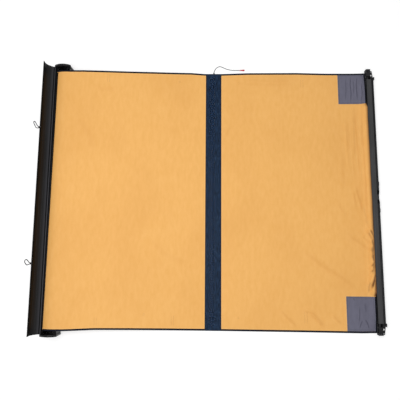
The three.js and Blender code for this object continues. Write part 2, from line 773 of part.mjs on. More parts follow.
// A telescoping pole that lies folded along -Y from its pivot, which is the group's origin
function pole(name, parent, place, folded, pivotEnd, pivotBore, nose) {
  const group = new THREE.Group();
  group.position.copy(place);
  parent.add(group);
  const tip = -folded;
  const innerEnd = tip + nose.length - nose.grip;
  const middleEnd = tip + nose.length + lockClearance + lockNeck;
  const outerEnd = middleEnd + lockGrip + lockClearance + lockNeck;
  const top = -knuckle - knuckleClearance;
  const outerTubing = turned(tubeProfile(outerTube, outerEnd, -knuckleOverlap), fine);
  piece(group, `${name}_outer`, build([outerTubing, pivotEnd], [pivotBore]), tubeMetal());
  piece(group, `${name}_middle`, turned(tubeProfile(middleTube, middleEnd, top)), tubeMetal());
  piece(group, `${name}_inner`, turned(tubeProfile(innerTube, innerEnd, top)), tubeMetal());
  const upper = lockProfile(lockRadius, outerTube, middleTube, outerEnd);
  const lower = lockProfile(lowerLockRadius, middleTube, innerTube, middleEnd);
  piece(group, `${name}_lock_upper`, turned(upper, fine), blackPlastic());
  piece(group, `${name}_lock_lower`, turned(lower, fine), blackPlastic());
  piece(group, `${name}_${nose.name}`, turned(nosePieceProfile(tip, innerEnd, nose)), rubber());
}

// Leg: its pivot end turns about X, so the leg swings up from the bar
function leg(side, parent) {
  const place = new THREE.Vector3(legAxisX, legPivotY, legAxisZ);
  const pivotEnd = rodX(0, 0, knuckle, -outerTube, outerTube);
  const pivotBore = rodX(0, 0, pinRadius + gap, -outerTube - overrun, outerTube + overrun, coarse);
  const foot = {
    name: "foot",
    radius: footRadius,
    sleeveRadius: footSleeveRadius,
    length: footLength,
    grip: footGrip,
  };
  pole(`leg_${side}`, parent, place, legPivotY - legEnd, pivotEnd, pivotBore, foot);
}

// Arm: its pivot end turns about Z, so the arm swings out over the canopy
function arm(side, parent) {
  const place = new THREE.Vector3(armAxisX, armPivotY, armAxisZ);
  const half = armKnuckleHeight / 2;
  const pivotEnd = rodZ(0, 0, knuckle, -half, half);
  const pivotBore = rodZ(0, 0, pinRadius + gap, -half - overrun, half + overrun, coarse);
  const plug = {
    name: "plug",
    radius: plugRadius,
    sleeveRadius: plugSleeveRadius,
    length: plugLength,
    grip: plugGrip,
  };
  pole(`arm_${side}`, parent, place, armPivotY - armEnd, pivotEnd, pivotBore, plug);
}

caseExtrusion();
for (const [side, parent] of Object.entries(sides)) {
  endCap(side, parent);
  armSocket(side, parent);
  cornerPatch(side, parent);
}
lid();
canopy();
lightSleeve();
cords();
barExtrusion();
for (const [side, parent] of Object.entries(barSides)) {
  barBracket(side, parent);
  leg(side, parent);
  arm(side, parent);
}

export default awning;
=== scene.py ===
import json
import math

import bmesh
import bpy
import numpy as np
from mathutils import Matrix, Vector


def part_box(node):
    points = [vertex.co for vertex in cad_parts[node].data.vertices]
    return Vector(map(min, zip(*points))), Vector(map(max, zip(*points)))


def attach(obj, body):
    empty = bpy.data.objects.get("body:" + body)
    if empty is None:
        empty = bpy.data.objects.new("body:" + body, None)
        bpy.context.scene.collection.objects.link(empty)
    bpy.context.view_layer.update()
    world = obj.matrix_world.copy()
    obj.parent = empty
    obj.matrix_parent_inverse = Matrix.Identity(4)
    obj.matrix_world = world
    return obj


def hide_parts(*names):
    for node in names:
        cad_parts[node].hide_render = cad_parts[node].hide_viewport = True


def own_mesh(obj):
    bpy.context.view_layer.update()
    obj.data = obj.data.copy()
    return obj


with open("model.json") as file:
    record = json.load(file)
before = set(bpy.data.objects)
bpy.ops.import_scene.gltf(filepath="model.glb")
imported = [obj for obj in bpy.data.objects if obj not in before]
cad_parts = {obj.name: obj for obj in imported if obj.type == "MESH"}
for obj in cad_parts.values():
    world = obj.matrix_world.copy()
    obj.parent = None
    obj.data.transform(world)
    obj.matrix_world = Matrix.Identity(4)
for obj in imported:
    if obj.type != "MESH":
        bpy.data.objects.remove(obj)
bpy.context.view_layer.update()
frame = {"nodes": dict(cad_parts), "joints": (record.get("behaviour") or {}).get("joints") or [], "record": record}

MM = 0.001
MM_PER_M = 1000
WELD = 0.001 * MM  # points closer than this are one point
SIDES = {"left": 1, "right": -1}

# The canopy's course, worked out from the frame
TRACK = (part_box("keder_rear")[0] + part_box("keder_rear")[1]) / 2
HEM_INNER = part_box("hem_rear_left")[0].y
SLEEVE_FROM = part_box("light_sleeve")[0].x
SLEEVE_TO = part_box("light_sleeve")[1].x
BAR_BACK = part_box("bar_extrusion")[0].x
LIP_RADIUS = 3.2 * MM
LIP_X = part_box("case_extrusion")[1].x - LIP_RADIUS
HEM_THICKNESS = 2.6 * MM
REST_Z = 1.4 * MM
LIP_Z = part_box("arm_socket_left")[1].z + 8.8 * MM
DROP_SPAN = 1240 * MM
DROP_POWER = 1.6
CROWN = 4 * MM
BAR_RISE_SPAN = 22 * MM
BAR_TRACK_RISE = 4.7 * MM
CLOTH_THICKNESS = 0.8 * MM
TAIL_END = 62 * MM

# Camera, fitted to the outlines in the photograph
IMAGE_SIDE = 400
FOCAL_PIXELS = 410
SENSOR_WIDTH = 36
VIEW_DEPTH = 60
CAMERA_PLACE = (1232.6 * MM, -459.6 * MM, 3193.1 * MM)
CAMERA_TURNS = (0.1354, 0.0367, 0.0075)


# Helpers for materials

def linear(code):
    """An sRGB hex value as linear red, green, blue and full alpha."""
    channels = [int(code[i:i + 2], 16) / 255 for i in (1, 3, 5)]
    return (*[c / 12.92 if c <= 0.04045 else ((c + 0.055) / 1.055) ** 2.4 for c in channels], 1.0)


def add_node(owner, kind, inputs=None, **settings):
    """Adds a shader node to a material or a world, with its settings, and links or fills its inputs."""
    node = owner.node_tree.nodes.new("ShaderNode" + kind)
    for key, value in settings.items():
        setattr(node, key, value)
    for key, value in (inputs or {}).items():
        if isinstance(value, bpy.types.NodeSocket):
            owner.node_tree.links.new(value, node.inputs[key])
        else:
            node.inputs[key].default_value = value
    return node


def new_material(name, colour, roughness, metallic=0.0, surface=None):
    """A material with its shader's own values. Returns it and its shader node."""
    material = bpy.data.materials.new(name)
    material.use_nodes = True
    shader = material.node_tree.nodes["Principled BSDF"]
    shader.inputs["Base Color"].default_value = linear(colour)
    shader.inputs["Roughness"].default_value = roughness
    shader.inputs["Metallic"].default_value = metallic
    for socket, value in (surface or {}).items():
        shader.inputs[socket].default_value = value
    return material, shader


def link(owner, output, node, socket):
    owner.node_tree.links.new(output, node.inputs[socket])


def pattern_space(material, size_mm):
    """Frame coordinates scaled so that one unit is the given size in millimetres along each axis."""
    place = add_node(material, "TexCoord").outputs["Object"]
    scale = [1 / (s * MM) for s in size_mm]
    return add_node(material, "Mapping", {"Vector": place, "Scale": scale}).outputs["Vector"]


def noise(material, size_mm, detail=2.0, roughness=0.5):
    space = pattern_space(material, size_mm)
    inputs = {"Vector": space, "Scale": 1.0, "Detail": detail, "Roughness": roughness}
    return add_node(material, "TexNoise", inputs).outputs["Fac"]


def spread(owner, value, low, high, darkest, lightest):
    """Maps a pattern's values from low..high to darkest..lightest."""
    inputs = {"Value": value, "From Min": low, "From Max": high, "To Min": darkest, "To Max": lightest}
    return add_node(owner, "MapRange", inputs).outputs["Result"]


# A colour mix's own sockets among those of the Mix node
MIX_SHARE, MIX_FIRST, MIX_SECOND, MIX_RESULT = 0, 6, 7, 2


def mix(material, share, first, second):
    """Mixes two colours by a share."""
    inputs = {MIX_SHARE: share, MIX_FIRST: first, MIX_SECOND: second}
    return add_node(material, "Mix", inputs, data_type="RGBA").outputs[MIX_RESULT]


def drawn_by(material, name):
    """The number that the mesh's points carry by a name."""
    return add_node(material, "Attribute", attribute_name=name).outputs["Fac"]


# The wave texture's scale that gives one band to a unit
ONE_BAND = math.pi / 10


def weave(material, thread_mm):
    """Height of a plain weave whose threads cross every thread_mm."""
    space = pattern_space(material, (thread_mm, thread_mm, thread_mm))
    waves = {"Vector": space, "Scale": ONE_BAND, "Distortion": 0.3, "Detail": 1.0}
    warp = add_node(material, "TexWave", waves, bands_direction="X").outputs["Fac"]
    weft = add_node(material, "TexWave", waves, bands_direction="Y").outputs["Fac"]
    return add_node(material, "Math", {0: warp, 1: weft}, operation="MAXIMUM").outputs[0]


def bump(material, shader, height, depth_mm, normal=None):
    """Gives the shader a bumpy normal of the given depth, on top of another normal if there is one."""
    inputs = {"Height": height, "Distance": depth_mm * MM, "Strength": 1.0}
    if normal is not None:
        inputs["Normal"] = normal
    node = add_node(material, "Bump", inputs)
    link(material, node.outputs["Normal"], shader, "Normal")
    return node.outputs["Normal"]


# Materials

def two_tones(material, shader, pattern, low, high, first, last):
    """Colours the shader from one tone to another as a pattern goes from low to high."""
    share = spread(material, pattern, low, high, 0.0, 1.0)
    link(material, mix(material, share, linear(first), linear(last)), shader, "Base Color")


def lay_over(material, shader, share, colour):
    """Lays a colour over the shader's present one by a share."""
    below = shader.inputs["Base Color"].links[0].from_socket
    link(material, mix(material, share, below, linear(colour)), shader, "Base Color")


def uneven_shine(material, shader, pattern, first, last, low=0.3, high=0.7):
    """Varies the shader's roughness as a pattern goes from low to high."""
    link(material, spread(material, pattern, low, high, first, last), shader, "Roughness")


def anodised_aluminium(name, dark, mean, pale):
    """Extruded aluminium, etched and anodised black: satin, with faint draw lines along the extrusion."""
    material, shader = new_material(name, mean, 0.42, 0.7)
    lines = noise(material, (1.2, 900, 1.2), 3.0)
    cloud = noise(material, (60, 300, 60), 2.0)
    two_tones(material, shader, lines, 0.35, 0.65, dark, mean)
    lay_over(material, shader, spread(material, cloud, 0.4, 0.7, 0.0, 0.35), pale)
    uneven_shine(material, shader, lines, 0.34, 0.5)
    bump(material, shader, lines, 0.03)
    return material


def lid_aluminium_with_painted_highlight():
    """The lid's anodised aluminium, with a painted highlight that makes it paler towards its hinge."""
    material = anodised_aluminium("anodised_aluminium_lid", "#111112", "#19191A", "#232325")
    place = add_node(material, "TexCoord").outputs["Object"]
    across = add_node(material, "SeparateXYZ", {"Vector": place}).outputs["X"]
    # Painted highlight: paler towards the hinge, standing in for the light that the lid's concave face catches
    # there
    painted_light = spread(material, across, -86 * MM, -64 * MM, 0.0, 1.0)
    lay_over(material, material.node_tree.nodes["Principled BSDF"], painted_light, "#353539")
    return material


def drawn_tube():
    """Drawn aluminium tube, anodised near black: smoother than the extrusions, with lines along it."""
    material, shader = new_material("drawn_tube", "#19191B", 0.33, 0.8)
    lines = noise(material, (0.8, 600, 0.8), 2.0)
    two_tones(material, shader, lines, 0.35, 0.65, "#131314", "#202022")
    uneven_shine(material, shader, lines, 0.26, 0.4)
    return material


def turned_steel(name, colour, roughness, smooth, rough):
    """Turned steel with a fine grain: bright if stainless, and dark with a soft shine if blackened."""
    material, shader = new_material(name, colour, roughness, 1.0)
    uneven_shine(material, shader, noise(material, (0.4, 0.4, 3), 2.0), smooth, rough)
    return material


def moulded_nylon():
    """Glass-filled nylon, moulded in black: a spark-eroded grain that scatters the light."""
    surface = {"IOR": 1.53, "Specular IOR Level": 0.18}
    material, shader = new_material("moulded_nylon", "#101012", 0.38, 0.0, surface)
    grain = noise(material, (1.1, 1.1, 1.1), 3.0, 0.6)
    wear = noise(material, (40, 40, 40), 3.0)
    two_tones(material, shader, wear, 0.45, 0.75, "#0F0F11", "#232325")
    uneven_shine(material, shader, grain, 0.3, 0.46)
    bump(material, shader, grain, 0.06)
    return material


def moulded_rubber():
    """Black rubber, moulded: dull, with a light bloom."""
    surface = {"IOR": 1.52, "Specular IOR Level": 0.08}
    material, shader = new_material("moulded_rubber", "#0C0C0D", 0.85, 0.0, surface)
    bloom = noise(material, (14, 14, 14), 3.0)
    two_tones(material, shader, bloom, 0.4, 0.75, "#090909", "#131314")
    bump(material, shader, noise(material, (0.8, 0.8, 0.8), 2.0), 0.04)
    return material


def coated_polyester(name, pale, mean, deep, seam, painted_light, roughness):
    """Plain-woven polyester with a coated back: a dull weave, with a painted highlight along its seams, painted
    shade in its folds, and painted shade along the bar and between its gathers there. The threads are 0.5 mm
    apart, and are drawn 1.6 mm apart so that they show."""
    surface = {"Sheen Weight": 0.05, "Sheen Roughness": 0.5, "Specular IOR Level": 0.2}
    material, shader = new_material(name, mean, roughness, 0.0, surface)
    mottle = noise(material, (26, 70, 60), 3.0, 0.6)
    cloud = noise(material, (420, 600, 400), 2.0)
    two_tones(material, shader, mottle, 0.3, 0.7, mean, pale)
    lay_over(material, shader, spread(material, cloud, 0.45, 0.7, 0.0, 0.2), deep)
    # Painted shade in the folds, painted shade along the bar and between its gathers, and a painted highlight
    # along the seams
    for drawn, colour in (("fold_shade", deep), ("bar_shade", painted_light), ("seam", seam)):
        lay_over(material, shader, drawn_by(material, drawn), colour)
    bump(material, shader, weave(material, 1.6), 0.12, bump(material, shader, mottle, 0.5))
    return material


def navy_coated_nylon():
    """Navy nylon with a shiny coating, pressed into lengthwise streaks by the wires and the strip beneath, with
    painted sheen along them.
    """
    material, shader = new_material("navy_coated_nylon", "#18273B", 0.5, 0.0, {"Specular IOR Level": 0.12})
    streaks = noise(material, (9, 48, 40), 4.0, 0.7)
    flecks = noise(material, (6, 30, 20), 3.0, 0.6)
    # Painted sheen: lighter and darker lengthwise streaks in the colour
    two_tones(material, shader, streaks, 0.34, 0.7, "#000D1E", "#17304D")
    lay_over(material, shader, spread(material, flecks, 0.6, 0.74, 0.0, 0.6), "#45617C")
    lay_over(material, shader, drawn_by(material, "seam"), "#0D1828")
    uneven_shine(material, shader, streaks, 0.58, 0.42, 0.35)
    bump(material, shader, weave(material, 1.8), 0.08, bump(material, shader, streaks, 0.7))
    return material


def binding_tape():
    """Woven polypropylene tape, black with a navy cast, ribbed across its length every 1.5 mm."""
    material, shader = new_material("binding_tape", "#10121A", 0.8, 0.0, {"Specular IOR Level": 0.1})
    ribs = weave(material, 1.5)
    two_tones(material, shader, ribs, 0.4, 1.0, "#0B0C13", "#181B27")
    bump(material, shader, ribs, 0.25)
    return material


def sewing_thread(name, colour):
    """Bonded polyester thread: a low sheen on each twisted stitch."""
    material, shader = new_material(name, colour, 0.55, 0.0, {"Sheen Weight": 0.2})
    bump(material, shader, noise(material, (1.0, 1.0, 1.0), 1.0), 0.1)
    return material


def led_silicone():
    """Silicone over the unlit light strip: dark blue through its window, paler at a diode every 17 mm."""
    surface = {"IOR": 1.41, "Specular IOR Level": 0.15}
    material, shader = new_material("led_silicone", "#22324A", 0.45, 0.0, surface)
    waves = {"Vector": pattern_space(material, (17, 17, 17)), "Scale": ONE_BAND}
    diodes = add_node(material, "TexWave", waves, bands_direction="Y").outputs["Fac"]
    two_tones(material, shader, diodes, 0.55, 0.8, "#0B1C33", "#213754")
    return material


def window_film():
    """PVC film with a blue tint, welded over the strip: clear, glossy and slightly wavy."""
    surface = {"Alpha": 0.14, "IOR": 1.53, "Specular IOR Level": 0.15}
    material, shader = new_material("window_film", "#1C314E", 0.3, 0.0, surface)
    bump(material, shader, noise(material, (9, 120, 60), 3.0), 0.6)
    return material


def braided_cord():
    """Braided polyester cord, black with dark grey flecks, its strands crossing every 2 mm."""
    material, shader = new_material("braided_cord", "#09090A", 0.85, 0.0, {"Specular IOR Level": 0.05})
    cells = {"Vector": pattern_space(material, (2, 2, 2)), "Scale": 1.0}
    strands = add_node(material, "TexVoronoi", cells).outputs["Distance"]
    two_tones(material, shader, strands, 0.2, 0.7, "#141516", "#050506")
    bump(material, shader, strands, 0.4)
    return material


def cable_sheath():
    """Soft PVC sheath of the lead: grey and evenly smooth."""
    surface = {"IOR": 1.53, "Specular IOR Level": 0.2}
    material, shader = new_material("cable_sheath", "#4A4C50", 0.5, 0.0, surface)
    two_tones(material, shader, noise(material, (12, 12, 12), 2.0), 0.35, 0.7, "#424448", "#54565A")
    return material


def red_connector_nylon():
    """Nylon of the lead's connector, moulded in red with a satin skin."""
    surface = {"IOR": 1.53, "Specular IOR Level": 0.2}
    material, shader = new_material("red_connector_nylon", "#B8142A", 0.4, 0.0, surface)
    grain = noise(material, (1.5, 1.5, 1.5), 2.0)
    uneven_shine(material, shader, grain, 0.3, 0.48)
    bump(material, shader, grain, 0.05)
    return material


ANODISED = anodised_aluminium("anodised_aluminium", "#313132", "#404040", "#49494C")
CASE_METAL = anodised_aluminium("anodised_aluminium_case", "#121213", "#1C1C1D", "#28282A")
LID_METAL = lid_aluminium_with_painted_highlight()
TUBE = drawn_tube()
STEEL = turned_steel("stainless_steel", "#B9BBBE", 0.3, 0.22, 0.4)
BLACK_STEEL = turned_steel("blackened_steel", "#2A2B2D", 0.42, 0.34, 0.5)
NYLON = moulded_nylon()
RUBBER = moulded_rubber()
# Each polyester's colours: pale, mean, deep (also its painted shade in folds), a painted highlight for the seams,
# and painted shade for the bar
ORANGE = coated_polyester("orange_polyester", "#EBB266", "#E6AB5D", "#D3954A", "#F6BE72", "#6E4522", 0.6)
GREY = coated_polyester("grey_polyester", "#6A6979", "#636271", "#4B4A58", "#6F6E7E", "#2E2D38", 0.66)
NAVY = navy_coated_nylon()
TAPE = binding_tape()
DARK_THREAD = sewing_thread("dark_thread", "#2A2F3D")
STRAP_THREAD = sewing_thread("strap_thread", "#9A6731")
LED = led_silicone()
FILM = window_film()
CORD = braided_cord()
SHEATH = cable_sheath()
RED = red_connector_nylon()


# Helpers for meshes

def in_the_scene(name, data):
    """An object of its own for a mesh, curve, lens or lamp."""
    made = bpy.data.objects.new(name, data)
    bpy.context.scene.collection.objects.link(made)
    return made


def mesh_object(name, vertices, faces, material, sharp_degrees=35):
    """A mesh with smooth shading, and creases where faces meet at more than the given angle."""
    mesh = bpy.data.meshes.new(name)
    mesh.from_pydata([tuple(v) for v in vertices], [], [tuple(f) for f in faces])
    work = bmesh.new()
    work.from_mesh(mesh)
    bmesh.ops.recalc_face_normals(work, faces=work.faces)
    work.to_mesh(mesh)
    work.free()
    mesh.polygons.foreach_set("use_smooth", [True] * len(mesh.polygons))
    mesh.set_sharp_from_angle(angle=math.radians(sharp_degrees))
    mesh.materials.append(material)
    return in_the_scene(name, mesh)


def stand_for(made, body, slot, *nodes):
    """Fastens a piece to its body and hides the CAD nodes that it stands for; its slot is not used."""
    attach(made, body)
    if nodes:
        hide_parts(*nodes)
    return made


def edged(node, material, body, slot, width_mm=0.6):
    """A copy of a CAD piece with its edges rounded by the given width."""
    mesh = frame["nodes"][node].data.copy()
    work = bmesh.new()
    work.from_mesh(mesh)
    bmesh.ops.remove_doubles(work, verts=work.verts, dist=WELD)
    bmesh.ops.dissolve_limit(work, angle_limit=math.radians(1), verts=work.verts, edges=work.edges)
    work.to_mesh(mesh)
    work.free()
    rough = in_the_scene(node + "_rough", mesh)
    bevel = rough.modifiers.new("rounded_edges", "BEVEL")
    bevel.width = width_mm * MM
    bevel.segments = 2
    bevel.limit_method = "ANGLE"
    bevel.angle_limit = math.radians(40)
    bevel.use_clamp_overlap = True
    graph = bpy.context.evaluated_depsgraph_get()
    rounded = bpy.data.meshes.new_from_object(rough.evaluated_get(graph))
    bpy.data.objects.remove(rough)
    rounded.polygons.foreach_set("use_smooth", [True] * len(rounded.polygons))
    rounded.set_sharp_from_angle(angle=math.radians(42))
    rounded.materials.clear()
    rounded.materials.append(material)
    return stand_for(in_the_scene(node + "_edged", rounded), body, slot, node)


def lathe(name, profile_mm, place, axis, material, sides=40, flutes=0, flute_mm=0.0):
    """Turns a closed profile of (radius, distance along the axis), in millimetres, about an axis.
    Flutes dent its widest radius."""
    profile = [(radius * MM, along * MM) for radius, along in profile_mm]
    flute_depth = flute_mm * MM
    widest = max(radius for radius, _ in profile)
    turn = Vector(axis).to_track_quat("Z", "Y").to_matrix()
    vertices, faces = [], []
    count = len(profile)
    for i in range(sides):
        angle = 2 * math.pi * i / sides
        dent = flute_depth * (0.5 - 0.5 * math.cos(flutes * angle)) if flutes else 0.0
        for radius, along in profile:
            reach = radius - (dent if radius > widest - flute_depth else 0.0)
            spot = Vector((reach * math.cos(angle), reach * math.sin(angle), along))
            vertices.append(turn @ spot + Vector(place))
    for i in range(sides):
        ahead = (i + 1) % sides
        for k in range(count):
            after = (k + 1) % count
            if profile[k][0] == 0 and profile[after][0] == 0:
                continue
            faces.append((i * count + k, ahead * count + k, ahead * count + after, i * count + after))
    made = mesh_object(name, vertices, faces, material, 32)
    work = bmesh.new()
    work.from_mesh(made.data)
    bmesh.ops.remove_doubles(work, verts=work.verts, dist=WELD)
    bmesh.ops.dissolve_degenerate(work, edges=work.edges, dist=WELD)
    bmesh.ops.recalc_face_normals(work, faces=work.faces)
    work.to_mesh(made.data)
    work.free()
    return made


def through_rings(name, rings, material, sharp_degrees):
    """A closed form whose skin runs through rings that have equally many points."""
    count = len(rings[0])
    vertices = [place for ring in rings for place in ring]
    last = len(vertices) - count
    faces = []
    for start in range(0, last, count):
        for k in range(count):
            after = (k + 1) % count
            faces.append((start + k, start + after, start + count + after, start + count + k))
    faces += [tuple(range(count)), tuple(range(last, last + count))]
    return mesh_object(name, vertices, faces, material, sharp_degrees)


def extrude_along_y(name, outline, y_from, y_to, material, sharp_degrees):
    """A closed outline of (x, z) points, run along Y."""
    rings = [[(x, y, z) for x, z in outline] for y in (y_from, y_to)]
    return through_rings(name, rings, material, sharp_degrees)


def smooth_route(points, steps):
    """A centripetal Catmull-Rom curve through points in millimetres, each stretch cut in steps."""
    places = [Vector(p) * MM for p in points]
    places = [2 * places[0] - places[1], *places, 2 * places[-1] - places[-2]]
    route = []
    for a, b, c, d in zip(places, places[1:], places[2:], places[3:]):
        first = math.sqrt((b - a).length)
        second = first + math.sqrt((c - b).length)
        third = second + math.sqrt((d - c).length)
        for i in range(steps):
            t = first + (second - first) * i / steps
            ab = a.lerp(b, t / first)
            bc = b.lerp(c, (t - first) / (second - first))
            cd = c.lerp(d, (t - second) / (third - second))
            abc = ab.lerp(bc, t / second)
            bcd = bc.lerp(cd, (t - first) / (third - first))
            route.append(abc.lerp(bcd, (t - first) / (second - first)))
    return [*route, places[-2]]


def cord_curve(name, route, diameter_mm, material):
    """A round cord along a route."""
    curve = bpy.data.curves.new(name, "CURVE")
    curve.dimensions = "3D"
    curve.bevel_depth = diameter_mm * MM / 2
    curve.bevel_resolution = 3
    curve.use_fill_caps = True
    curve.materials.append(material)
    spline = curve.splines.new("POLY")
    spline.points.add(len(route) - 1)
    for point, place in zip(spline.points, route):
        point.co = (*place, 1)
    return in_the_scene(name, curve)


def fresh_finish(node, material):
    """Gives a CAD piece whose shape stays a better material."""
    held = frame["nodes"][node]
    for place in held.material_slots:
        place.link = "OBJECT"
        place.material = material


def dye(made, name, values):
    """Writes one number for each point of a mesh, which its material reads by that name."""
    layer = made.data.attributes.new(name, "FLOAT", "POINT")
    layer.data.foreach_set("value", np.asarray(values, dtype=np.float32).ravel())


# Camera

def photo_camera():
    lens = bpy.data.cameras.new("photo_camera")
    lens.sensor_width = SENSOR_WIDTH
    lens.lens = SENSOR_WIDTH * FOCAL_PIXELS / IMAGE_SIDE
    lens.clip_end = VIEW_DEPTH
    camera = in_the_scene("photo_camera", lens)
    camera.location = CAMERA_PLACE
    camera.rotation_mode = "ZXY"
    camera.rotation_euler = CAMERA_TURNS
    bpy.context.scene.camera = camera


photo_camera()


# Cords

# Places along the lead and round each pull loop, and where its knot is, in millimetres
LEAD_POINTS = (
    (1222, 1024.3, 3.5), (1222.3, 1028.5, 3.5), (1224.5, 1037, 3.2), (1231, 1053, 2.9), (1243, 1068, 2.8),
    (1257, 1077.5, 2.8), (1272, 1080, 2.8), (1289, 1075, 2.8), (1306, 1066.5, 2.8), (1324, 1058.5, 2.8),
    (1348, 1051.5, 2.8), (1375, 1047.5, 3.4), (1405, 1045.5, 5.2), (1432, 1045, 6.1),
)
LOOP_POINTS = {
    "left": (
        (-110, 511.75, 203.4), (-118, 512, 204), (-130, 522, 200), (-145, 542, 191),
        (-158, 559, 184), (-167, 563, 180), (-169, 554, 180), (-156, 529, 187), (-139, 506, 197),
        (-122, 501.5, 203.2), (-110, 505.25, 203.4),
    ),
    "right": (
        (-110, -520.75, 203.4), (-124, -518.5, 202.5), (-139, -505, 196), (-153, -496, 190),
        (-165, -500, 185), (-169, -511, 183), (-163, -524, 184), (-150, -535, 189), (-137, -533, 196),
        (-123, -528, 202.5), (-110, -527.25, 203.4),
    ),
}
LEAD_DIAMETER = 5
LOOP_DIAMETER = 5.6
ROUTE_STEPS = 8
KNOT_PLACES = {"left": (-117.5, 507.6, 203.7), "right": (-117.5, -523.6, 202.9)}
KNOT_RADII = (7.0, 3.4)
KNOT_CORD = 2.2
KNOT_POINTS = 61
KNOT_POINTS_A_TURN = 16
KNOT_STEP = 0.09
# The connector as (radius, distance along), and how far its parts are from the lead's end, in millimetres
CONNECTOR_GAP = 0.3
CONNECTOR_FLUTES = (20, 0.35)
CONNECTOR = (
    (0, 0), (3.0, 0), (3.4, 0.6), (3.4, 2.0), (3.1, 2.4), (3.1, 3.6), (3.5, 4.2), (3.9, 9), (4.4, 15),
    (5.0, 22), (5.0, 24.2), (5.7, 25.2), (6.0, 27), (6.0, 37.6), (5.6, 38.7), (4.5, 39.0), (4.5, 30), (0, 30),
)
CONNECTOR_PIN = ((0, 0), (1.2, 0), (1.2, 7), (0.8, 8), (0, 8))
CONNECTOR_PIN_FROM = 29.5


def light_lead():
    """The lead from the sleeve's gland to its red connector."""
    route = smooth_route(LEAD_POINTS, ROUTE_STEPS)
    lead = cord_curve("lead_cable", route, LEAD_DIAMETER, SHEATH)
    stand_for(lead, "light_strip", "grey_cable", "light_lead")
    gland = edged("lead_gland", NYLON, "light_strip", "black_nylon", 0.8)
    x, y, z = LEAD_POINTS[-1]
    x, y, z = (x + CONNECTOR_GAP) * MM, y * MM, z * MM
    connector = lathe("lead_connector", CONNECTOR, (x, y, z), (1, 0, 0), RED, 40, *CONNECTOR_FLUTES)
    stand_for(connector, "light_strip", "red_plastic", "light_connector")
    pin = lathe("connector_pin", CONNECTOR_PIN, (x + CONNECTOR_PIN_FROM * MM, y, z), (1, 0, 0), STEEL, 16)
    stand_for(pin, "light_strip", "bright_steel")


def pull_knot(side):
    """Whipping cord wound round both strands of a pull loop."""
    x, y, z = KNOT_PLACES[side]
    wide, high = KNOT_RADII
    wraps = []
    for i in range(KNOT_POINTS):
        angle = 2 * math.pi * i / KNOT_POINTS_A_TURN
        wraps.append(Vector((x + i * KNOT_STEP, y + wide * math.cos(angle), z + high * math.sin(angle))) * MM)
    knot = cord_curve(f"pull_knot_{side}", wraps, KNOT_CORD, CORD)
    return stand_for(knot, "lid", "black_cord")


def pull_loops():
    """A loop of cord through each eyelet in the lid's edge, its two strands held by a whipped knot."""
    for side in SIDES:
        route = smooth_route(LOOP_POINTS[side], ROUTE_STEPS)
        loop = cord_curve(f"pull_cord_{side}", route, LOOP_DIAMETER, CORD)
        stand_for(loop, "lid", "black_cord", f"pull_loop_{side}")
        knot = pull_knot(side)
        edged(f"pull_eyelet_{side}", STEEL, "lid", "bright_steel", 0.25)


light_lead()
pull_loops()


# Canopy

def in_mm(*places):
    """Places in metres, as arrays in millimetres."""
    return [MM_PER_M * np.asarray(place, dtype=float) for place in places]


def smooth_step(share):
    return share * share * (3 - 2 * share)


def canopy_height(x):
    """Height of the canopy's middle layer: from its track over the lip, down to the floor, into the bar."""
    x = np.asarray(x, dtype=float)
    inside = np.clip((LIP_X - x) / (LIP_X - TRACK.x), 0, None)
    over_case = LIP_Z - (LIP_Z - TRACK.z) * inside ** 3 + 4 * CROWN * inside * (1 - inside)
    left = np.clip(1 - (x - LIP_X) / DROP_SPAN, 0, 1)
    rise = np.clip((x - BAR_BACK + BAR_RISE_SPAN) / BAR_RISE_SPAN, 0, 1)
    outside = REST_Z + (LIP_Z - REST_Z) * left ** DROP_POWER + (BAR_TRACK_RISE - REST_Z) * rise
    return np.where(x < LIP_X, over_case, outside)


# The slack cloth at the bar, in millimetres: how far from the bar it starts, where its crest is, its height
# and its waves, how much lower it is from a corner patch on, and where it ends
ROLL_SPAN = 66
ROLL_CREST = 1.8
ROLL_TUCK = 0.3
ROLL_HEIGHT = 35.5
ROLL_WAVES = ((1.2, 61, 0), (0.8, 23, 1))
ROLL_CORNER = (712, 48, 25)
ROLL_END = (985, 90)
ROLL_STEEPNESS = 1.25


def slack_roll(x, y):
    """Slack cloth that stands up against the bar's back edge between its ends, in millimetres."""
    short = MM_PER_M * BAR_BACK - x
    climb = np.clip((ROLL_SPAN - short) / (ROLL_SPAN - ROLL_CREST), 0, 1)
    (first, first_length, first_shift), (second, second_length, second_shift) = ROLL_WAVES
    height = ROLL_HEIGHT + first * np.cos(y / first_length + first_shift)
    height = height + second * np.cos(y / second_length + second_shift)
    corner_from, corner_span, drop = ROLL_CORNER
    corner = np.clip((np.abs(y) - corner_from) / corner_span, 0, 1)
    height = height - drop * smooth_step(corner)
    end, end_span = ROLL_END
    ends = smooth_step(np.clip((end - np.abs(y)) / end_span, 0, 1))
    tucked = np.clip((short - ROLL_TUCK) / (ROLL_CREST - ROLL_TUCK), 0, 1)
    return height * ends * (0.5 - 0.5 * np.cos(math.pi * climb)) ** ROLL_STEEPNESS * np.sqrt(tucked)


